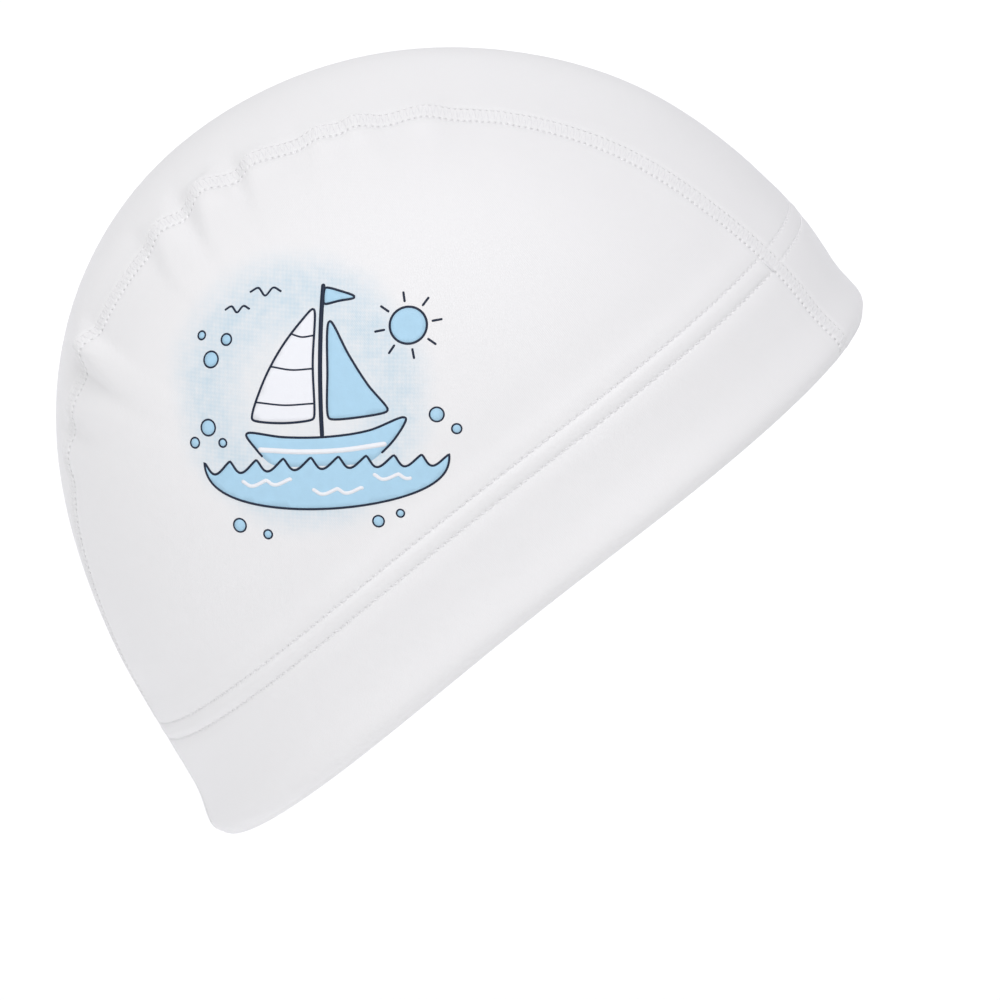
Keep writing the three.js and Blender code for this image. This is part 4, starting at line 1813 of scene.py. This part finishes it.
@dataclass
class BoatPrint:
    """The printed sailing boat: films of pale blue and white ink, with dark outlines over them.

    Attributes:
        fill_top: how far the fills stand off the cloth.
        sea_top: how far the sea does, which covers the hull's foot; the tops of the rest follow.
        water_line: the level at which the hull's outline ends.
        sea_wave: the waves' left and right ends, their level, height and length.
        foam: the left and right ends and the level of each run of foam.
        foam_wave: the height and the length of its waves.
        rays: where a ray starts and ends, off the sun's middle.
        gull: points along a gull's wings.
        gulls: the middle and the size of each gull.
        hull: points round the hull, as for the sails and the pennant.
        bubbles: the middle and the radius of each bubble.
    """

    ground: PrintGround
    line: float = 0.5
    fine_line: float = 0.38
    fill_top: float = 0.012
    line_top: float = 0.024
    sea_top: float = 0.036
    stripe_top: float = 0.02
    mast_top: float = 0.028
    foam_top: float = 0.046
    sea_line_top: float = 0.048
    stripe_width: float = 1.1
    mast_width: float = 0.95
    foam_width: float = 0.8
    batten_sag: float = 0.5
    water_line: float = -11.4
    sea_wave: tuple[float, float, float, float, float] = (-27.9, 27.9, -14.6, 2.6, 6.2)
    sea_depth: float = 11.5
    foam: tuple[Triple, ...] = ((-19.0, -8.0, -17.6), (-3.0, 8.0, -20.2), (11.0, 19.6, -17.4))
    foam_wave: Pair = (1.1, 5.4)
    sun: Triple = (19.4, 16.4, 4.0)
    rays: Pair = (5.3, 7.2)
    first_ray: float = 12.0
    gull: tuple[Pair, ...] = ((-3.4, 0.9), (-1.7, 1.7), (0.0, 0.0), (1.7, 1.7), (3.4, 0.9))
    gulls: tuple[Triple, ...] = ((-12.2, 22.6, 1.0), (-18.4, 19.2, 0.8))
    gull_line: float = 0.45
    mast: tuple[Pair, ...] = ((0.5, -7.2), (0.5, 8.0), (0.5, 24.6))
    battens: tuple[tuple[Pair, Pair], ...] = (
        ((-13.9, 0.2), (-1.2, -0.4)), ((-10.4, 7.6), (-1.2, 7.0)), ((-6.0, 14.4), (-1.2, 14.0)),
    )  # fmt: skip
    stripe: tuple[Pair, ...] = ((-13.6, -9.9), (-4.0, -10.7), (5.0, -10.6), (14.2, -9.5))
    hull: tuple[Pair, ...] = (
        (-16.2, -6.2), (-8.0, -7.4), (2.0, -7.6), (11.0, -6.4), (18.6, -3.6), (19.2, -3.9), (16.4, -8.6),
        (11.6, -12.9), (9.8, -13.6), (0.0, -13.9), (-9.6, -13.6), (-11.8, -12.8), (-14.8, -9.4),
        (-16.6, -6.6),
    )  # fmt: skip
    mainsail: tuple[Pair, ...] = (
        (-1.5, 19.6), (-1.1, 19.4), (-1.1, 8.0), (-1.1, -3.4), (-1.5, -3.8), (-8.0, -4.4), (-14.6, -3.6),
        (-15.0, -3.2), (-12.6, 3.4), (-8.4, 11.0), (-4.0, 16.9),
    )  # fmt: skip
    jib: tuple[Pair, ...] = (
        (2.2, 16.9), (2.6, 17.0), (6.8, 9.8), (11.0, 3.4), (15.2, -1.8), (15.0, -2.3), (9.0, -3.5),
        (2.6, -3.8), (2.1, -3.4), (2.1, 6.0),
    )  # fmt: skip
    pennant: tuple[Pair, ...] = (
        (0.9, 24.0), (1.2, 24.2), (4.4, 23.5), (7.4, 22.4), (7.4, 22.1), (4.2, 21.4), (1.2, 20.7),
        (0.9, 20.9),
    )  # fmt: skip
    bubbles: tuple[Triple, ...] = (
        (-25.4, -4.6, 1.7), (-29.0, -7.6, 1.1), (-22.2, -8.0, 0.9), (26.0, -3.0, 1.6), (30.4, -6.2, 1.1),
        (-20.6, 13.6, 1.2), (-24.2, 9.6, 1.7), (-26.6, 14.8, 0.9), (-20.6, -26.0, 1.5), (-14.2, -28.4, 1.0),
        (11.6, -27.0, 1.3), (16.8, -25.4, 0.9),
    )  # fmt: skip

    def wave(self, left: float, right: float, level: float, height: float, period: float) -> Array:
        """The line of a run of waves, with leaning crests and round troughs between them.

        Args:
            left: where it starts.
            right: where it ends.
            level: the level of the troughs.
            height: how high the crests rise above them.
            period: the distance between crests.

        Returns:
            The line's points.
        """
        x = np.linspace(left, right, round((right - left) / 0.25))
        swing = 2 * ((x - left) / period % 1) - 1
        crest = swing * swing * (1.6 - 0.6 * swing * swing)
        return np.stack([x + 0.12 * period * crest, level + height * crest], -1)

    def sea(self) -> Array:
        """The outline of the water that the boat sits in: waves above, and a round bowl below.

        Returns:
            The outline's points.
        """
        top = self.wave(*self.sea_wave)
        turn = np.linspace(0, math.pi, 180)[1:-1]
        right, left = top[-1], top[0]
        middle, half = (right + left) / 2, (right[0] - left[0]) / 2
        deep = self.sea_depth * np.sin(turn) ** 0.8
        return np.concatenate([top, np.stack([middle[0] + half * np.cos(turn), middle[1] - deep], -1)])

    def pale(self) -> Solid:
        """The pale blue fills: hull, jib, pennant, sea, bubbles and sun.

        Returns:
            The fills.
        """
        lay, top = self.ground, self.fill_top
        parts = [lay.film(smooth_path(shape, True), top) for shape in (self.hull, self.jib, self.pennant)]
        parts.append(lay.film(self.sea(), self.sea_top))
        parts += [lay.film(self.circle(*disc), top) for disc in (*self.bubbles, self.sun)]
        return Solid.joined(parts)

    def white(self) -> Solid:
        """The white fills: the mainsail, a stripe on the hull and the foam.

        Returns:
            The fills.
        """
        lay = self.ground
        parts = [lay.film(smooth_path(self.mainsail, True), self.fill_top)]
        parts.append(lay.stroke(smooth_path(self.stripe), self.stripe_width, self.stripe_top))
        for run in self.foam:
            parts.append(lay.stroke(self.wave(*run, *self.foam_wave), self.foam_width, self.foam_top))
        return Solid.joined(parts)

    def circle(self, x: float, y: float, radius: float) -> Array:
        """The outline of a circle."""
        turn = np.linspace(0, 2 * math.pi, max(16, round(radius * 16)), endpoint=False)
        return np.stack([x + radius * np.cos(turn), y + radius * np.sin(turn)], -1)

    def outlines(self) -> Solid:
        """The dark outlines and the lines drawn over the fills.

        Returns:
            The lines.
        """
        lay, top = self.ground, self.line_top
        parts = [
            lay.stroke(smooth_path(shape, True), self.line, top, closed=True)
            for shape in (self.mainsail, self.jib, self.pennant)
        ]
        hull = smooth_path(self.hull, True)
        hull = np.roll(hull, -int(hull[:, 1].argmin()), axis=0)
        parts.append(lay.stroke(hull[hull[:, 1] > self.water_line], self.line, top))
        parts.append(lay.stroke(self.sea(), self.line, self.sea_line_top, closed=True))
        fine = self.fine_line
        parts += [lay.stroke(self.circle(*bubble), fine, top, closed=True) for bubble in self.bubbles]
        parts.append(lay.stroke(self.circle(*self.sun), self.line, top, closed=True))
        for turn in np.radians(np.arange(0, 360, 45) + self.first_ray):
            way = np.array([math.cos(turn), math.sin(turn)])
            ray = np.linspace(*self.rays, 6)[:, None] * way + self.sun[:2]
            parts.append(lay.stroke(ray, self.line, top))
        parts.append(lay.stroke(smooth_path(self.mast), self.mast_width, self.mast_top))
        for low, high in self.battens:
            middle = (mix(low[0], high[0], 0.5), mix(low[1], high[1], 0.5) - self.batten_sag)
            parts.append(lay.stroke(smooth_path([low, middle, high]), fine, top))
        for x, y, size in self.gulls:
            wings = smooth_path([(x + ahead * size, y + up * size) for ahead, up in self.gull])
            parts.append(lay.stroke(wings, self.gull_line, top))
        return Solid.joined(parts)


@dataclass(frozen=True)
class Lamp:
    """A large soft light that faces the cap.

    Attributes:
        azimuth: degrees round the cap, as the camera's.
        elevation: degrees above the level.
        power: its power, in watts.
    """

    name: str
    azimuth: float
    elevation: float
    power: float
    tint: Triple = (1.0, 1.0, 1.0)


@dataclass
class Studio:
    """The pale floor, the soft lights and the camera.

    Attributes:
        crown: the crown's centre, in metres, which the lights and the camera are set round.
        azimuth: the camera's degrees round the cap, as seen from where it aims.
        aim: how far to the right of the crown's centre and above it the camera aims, in metres.
        floor_drop: how far the floor lies below the origin, in metres.
        floor_glow: the light that the floor gives off itself.
        wash_place: where the lamp hangs that lights the floor behind the cap, from the crown's centre.
    """

    crown: Vector
    azimuth: float = 1.544
    elevation: float = 13.123
    distance: float = 3.03
    lens: float = 495.8
    aim: Pair = (0.011, -0.0132)
    floor_drop: float = 0.30
    floor_radius: float = 14.0
    lamp_size: float = 1.8
    lamp_distance: float = 2.4
    wash_size: float = 1.2
    wash_place: Triple = (0.0, 1.32, 0.6)
    wash_power: float = 3.9
    floor_glow: float = 0.14
    surround: float = 0.44
    lamps: tuple[Lamp, ...] = (
        Lamp("key", 2.0, 40.0, 8.2),
        Lamp("low", 0.0, 15.0, 2.1),
        Lamp("top", -4.0, 65.0, 26.5, (0.97, 0.95, 1.0)),
        Lamp("side", -75.0, 15.0, 4.0),
        Lamp("nape_fill", -130.0, 30.0, 4.6),
        Lamp("far_fill", 120.0, 30.0, 5.4, (0.93, 0.91, 1.0)),
    )

    def back(self, azimuth: float, elevation: float) -> Vector:
        """The direction from the object towards a place seen at these angles, in degrees."""
        turn, rise = math.radians(azimuth), math.radians(elevation)
        return Vector((math.sin(turn) * math.cos(rise), -math.cos(turn) * math.cos(rise), math.sin(rise)))

    def face(self, made: bpy.types.Object, place: Vector, back: Vector) -> None:
        """Sets a camera or a lamp at a place, looking away from a direction.

        Args:
            made: the camera or the lamp.
            place: where it goes.
            back: the direction that it turns its back to.
        """
        made.location = place
        made.rotation_mode = "QUATERNION"
        made.rotation_quaternion = (-back).to_track_quat("-Z", "Y")

    def camera(self) -> None:
        """Makes the camera at the photograph's angle, as the scene's own."""
        back = self.back(self.azimuth, self.elevation)
        right = Vector((math.cos(math.radians(self.azimuth)), math.sin(math.radians(self.azimuth)), 0.0))
        up = right.cross(-back)
        data = bpy.data.cameras.new("camera")
        data.lens, data.sensor_width = self.lens, 36.0
        data.clip_start, data.clip_end = 0.1, 60.0
        made = bpy.data.objects.new("camera", data)
        bpy.context.scene.collection.objects.link(made)
        target = self.crown + right * self.aim[0] + up * self.aim[1]
        self.face(made, target + back * self.distance, back)
        bpy.context.scene.camera = made

    def light(self, name: str, size: float, power: float) -> bpy.types.Object:
        """Adds a soft round light, which faces down from the crown's centre until it is placed.

        Args:
            name: the light's name.
            size: its width, in metres.
            power: its power, in watts.

        Returns:
            The light.
        """
        data = bpy.data.lights.new(name, "AREA")
        data.shape, data.size, data.energy = "DISK", size, power
        made = bpy.data.objects.new(name, data)
        bpy.context.scene.collection.objects.link(made)
        made.location = self.crown
        return made

    def lights(self) -> None:
        """Adds the lamps that face the cap, and the wash that lights the floor behind it."""
        for lamp in self.lamps:
            made = self.light(lamp.name, self.lamp_size, lamp.power)
            made.data.color = lamp.tint
            back = self.back(lamp.azimuth, lamp.elevation)
            self.face(made, self.crown + back * self.lamp_distance, back)
        wash = self.light("floor_wash", self.wash_size, self.wash_power)
        wash.location = self.crown + Vector(self.wash_place)

    def floor(self) -> None:
        """Makes the wide pale floor under the cap, with a soft grain."""
        shell = bmesh.new()
        bmesh.ops.create_circle(shell, cap_ends=True, segments=96, radius=self.floor_radius)
        mesh = bpy.data.meshes.new("floor")
        shell.to_mesh(mesh)
        shell.free()
        mesh.transform(Matrix.Translation((0.0, 0.0, -self.floor_drop)))
        nodes = Nodes("pale floor")
        spot = nodes.add("TexCoord").outputs["Object"]
        grain = nodes.add("TexNoise", {"Vector": spot, "Scale": 60.0, "Detail": 4.0})
        shade = nodes.blend(grain.outputs["Fac"], (0.90, 0.90, 0.91, 1.0), (0.92, 0.92, 0.93, 1.0))
        matte = nodes.add(
            "BsdfPrincipled",
            {
                "Base Color": shade,
                "Roughness": 0.85,
                "Specular IOR Level": 0.1,
                "Emission Color": (1.0, 1.0, 1.0, 1.0),
                "Emission Strength": self.floor_glow,
            },
        )
        mesh.materials.append(nodes.surface(matte.outputs[0]))
        made = bpy.data.objects.new("floor", mesh)
        bpy.context.scene.collection.objects.link(made)

    def world(self) -> None:
        """Sets the even pale surround."""
        world = bpy.data.worlds.new("surround")
        world.use_nodes = True
        sky = world.node_tree.nodes["Background"]
        sky.inputs["Color"].default_value = (1.0, 1.0, 1.0, 1.0)
        sky.inputs["Strength"].default_value = self.surround
        bpy.context.scene.world = world

    def build(self) -> None:
        """Makes the whole studio."""
        self.camera()
        self.floor()
        self.world()
        self.lights()
        scene = bpy.context.scene
        scene.view_settings.view_transform = "Standard"
        scene.view_settings.look = "None"
        scene.view_settings.exposure = 0.0
        scene.view_settings.gamma = 1.0


@dataclass
class SwimCap:
    """The whole cap, built piece by piece on one shape.

    Attributes:
        print_middle: where the print's middle lies, in millimetres from the crown's centre.
        glow_ahead: how far ahead of the origin its pale ground's middle lies, in metres.
        glow_radii: that ground's half width and half height, in metres.
    """

    form: CapForm = field(default_factory=CapForm)
    print_middle: Triple = (-26.6, -72.0, 24.9)
    glow_ahead: float = -0.0300
    glow_radii: Pair = (0.0300, 0.0310)

    def build(self) -> None:
        """Builds and dresses each sub-assembly in order."""
        cloth = CoatedKnit("white coated knit", colour(234, 234, 234)).make()
        seam_cloth = CoatedKnit("seam edge knit", colour(235, 235, 235), roughness=0.6, sheen=0.2).make()
        thread = Thread("white seam thread", colour(234, 234, 235)).make()
        middle = self.form.centre + self.print_middle
        place = (self.glow_ahead, 0.0, float(middle[2]) * MM)
        glow = Glow(centre=place, radii=self.glow_radii, tint=colour(198, 216, 226))
        printed = CoatedKnit("printed coated knit", colour(234, 234, 234), glow=glow).make()
        self.side_panels({Side.RIGHT: printed, Side.LEFT: cloth}, thread)
        self.centre_panel(cloth, thread)
        self.seams(seam_cloth, thread)
        self.boat_print(middle)

    def side_panels(self, cloths: dict[Side, bpy.types.Material], thread: bpy.types.Material) -> None:
        """Builds both side panels and the stitches of their hems.

        Args:
            cloths: each panel's cloth.
            thread: the stitches' finish.
        """
        for side, cloth in cloths.items():
            panel = SidePanel(self.form, side=side)
            made = panel.solid().piece(f"{side.label}_side_cloth", cloth, "cloth")
            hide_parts(f"{side.label}_side_panel")
            LOG.info("%s hem is %.1f mm, cloth %.5f m2", side.label, panel.hem_length, half_surface(made))
            sewing = HemStitching(panel, panel.hem_place, int(panel.last_stitch))
            rows = sewing.outer_threads().piece(f"{side.label}_hem_stitches", thread, "seam")
            loops = sewing.inner_threads().piece(f"{side.label}_hem_loops", thread, "seam")

    def centre_panel(self, cloth: bpy.types.Material, thread: bpy.types.Material) -> None:
        """Builds the centre panel and the stitches of its hem at both ends.

        Args:
            cloth: the panel's cloth.
            thread: the stitches' finish.
        """
        panel = CentrePanel(self.form)
        made = panel.solid().piece("centre_cloth", cloth, "cloth")
        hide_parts("centre_panel")
        LOG.info("centre cloth %.5f m2", half_surface(made))
        for end, count in zip(End, panel.stitch_counts):
            sewing = HemStitching(panel, partial(panel.hem_place, end=end), count)
            sewing.outer_threads().piece(f"centre_{end.label}_stitches", thread, "seam")
            sewing.inner_threads().piece(f"centre_{end.label}_loops", thread, "seam")

    def seams(self, cloth: bpy.types.Material, thread: bpy.types.Material) -> None:
        """Builds both flatlock seams.

        Args:
            cloth: the strips' cloth.
            thread: the stitches' finish.
        """
        for side in Side:
            seam = FlatlockSeam(self.form, side)
            made = seam.strip().piece(f"{side.label}_seam_strip", cloth, "seam")
            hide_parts(f"{side.label}_seam")
            cover = seam.outer_threads().piece(f"{side.label}_seam_cover_threads", thread, "seam")
            inner = seam.inner_threads().piece(f"{side.label}_seam_inner_threads", thread, "seam")
            LOG.info("%s seam is %.1f mm, %d stitches", side.label, seam.length, seam.count)

    def boat_print(self, middle: Array) -> None:
        """Lays the printed boat on the right side panel.

        Args:
            middle: where its middle lies, in millimetres from the origin.
        """
        art = BoatPrint(PrintGround(self.form, middle))
        parts = (
            ("pale_blue", art.pale(), Ink("pale blue ink", colour(172, 210, 232))),
            ("white", art.white(), Ink("white ink", colour(236, 238, 242), mottle=0.02)),
            ("dark_blue", art.outlines(), Ink("dark blue ink", colour(24, 36, 58), mottle=0.15)),
        )
        for name, solid, ink in parts:
            solid.piece(f"print_{name}", ink.make(), "cloth")


def main() -> None:
    """Builds the cap and its studio."""
    logging.basicConfig(level=logging.INFO, format="%(message)s")
    cap = SwimCap()
    Studio(Vector(cap.form.centre * MM)).build()
    cap.build()


if __name__ == "__main__":
    main()
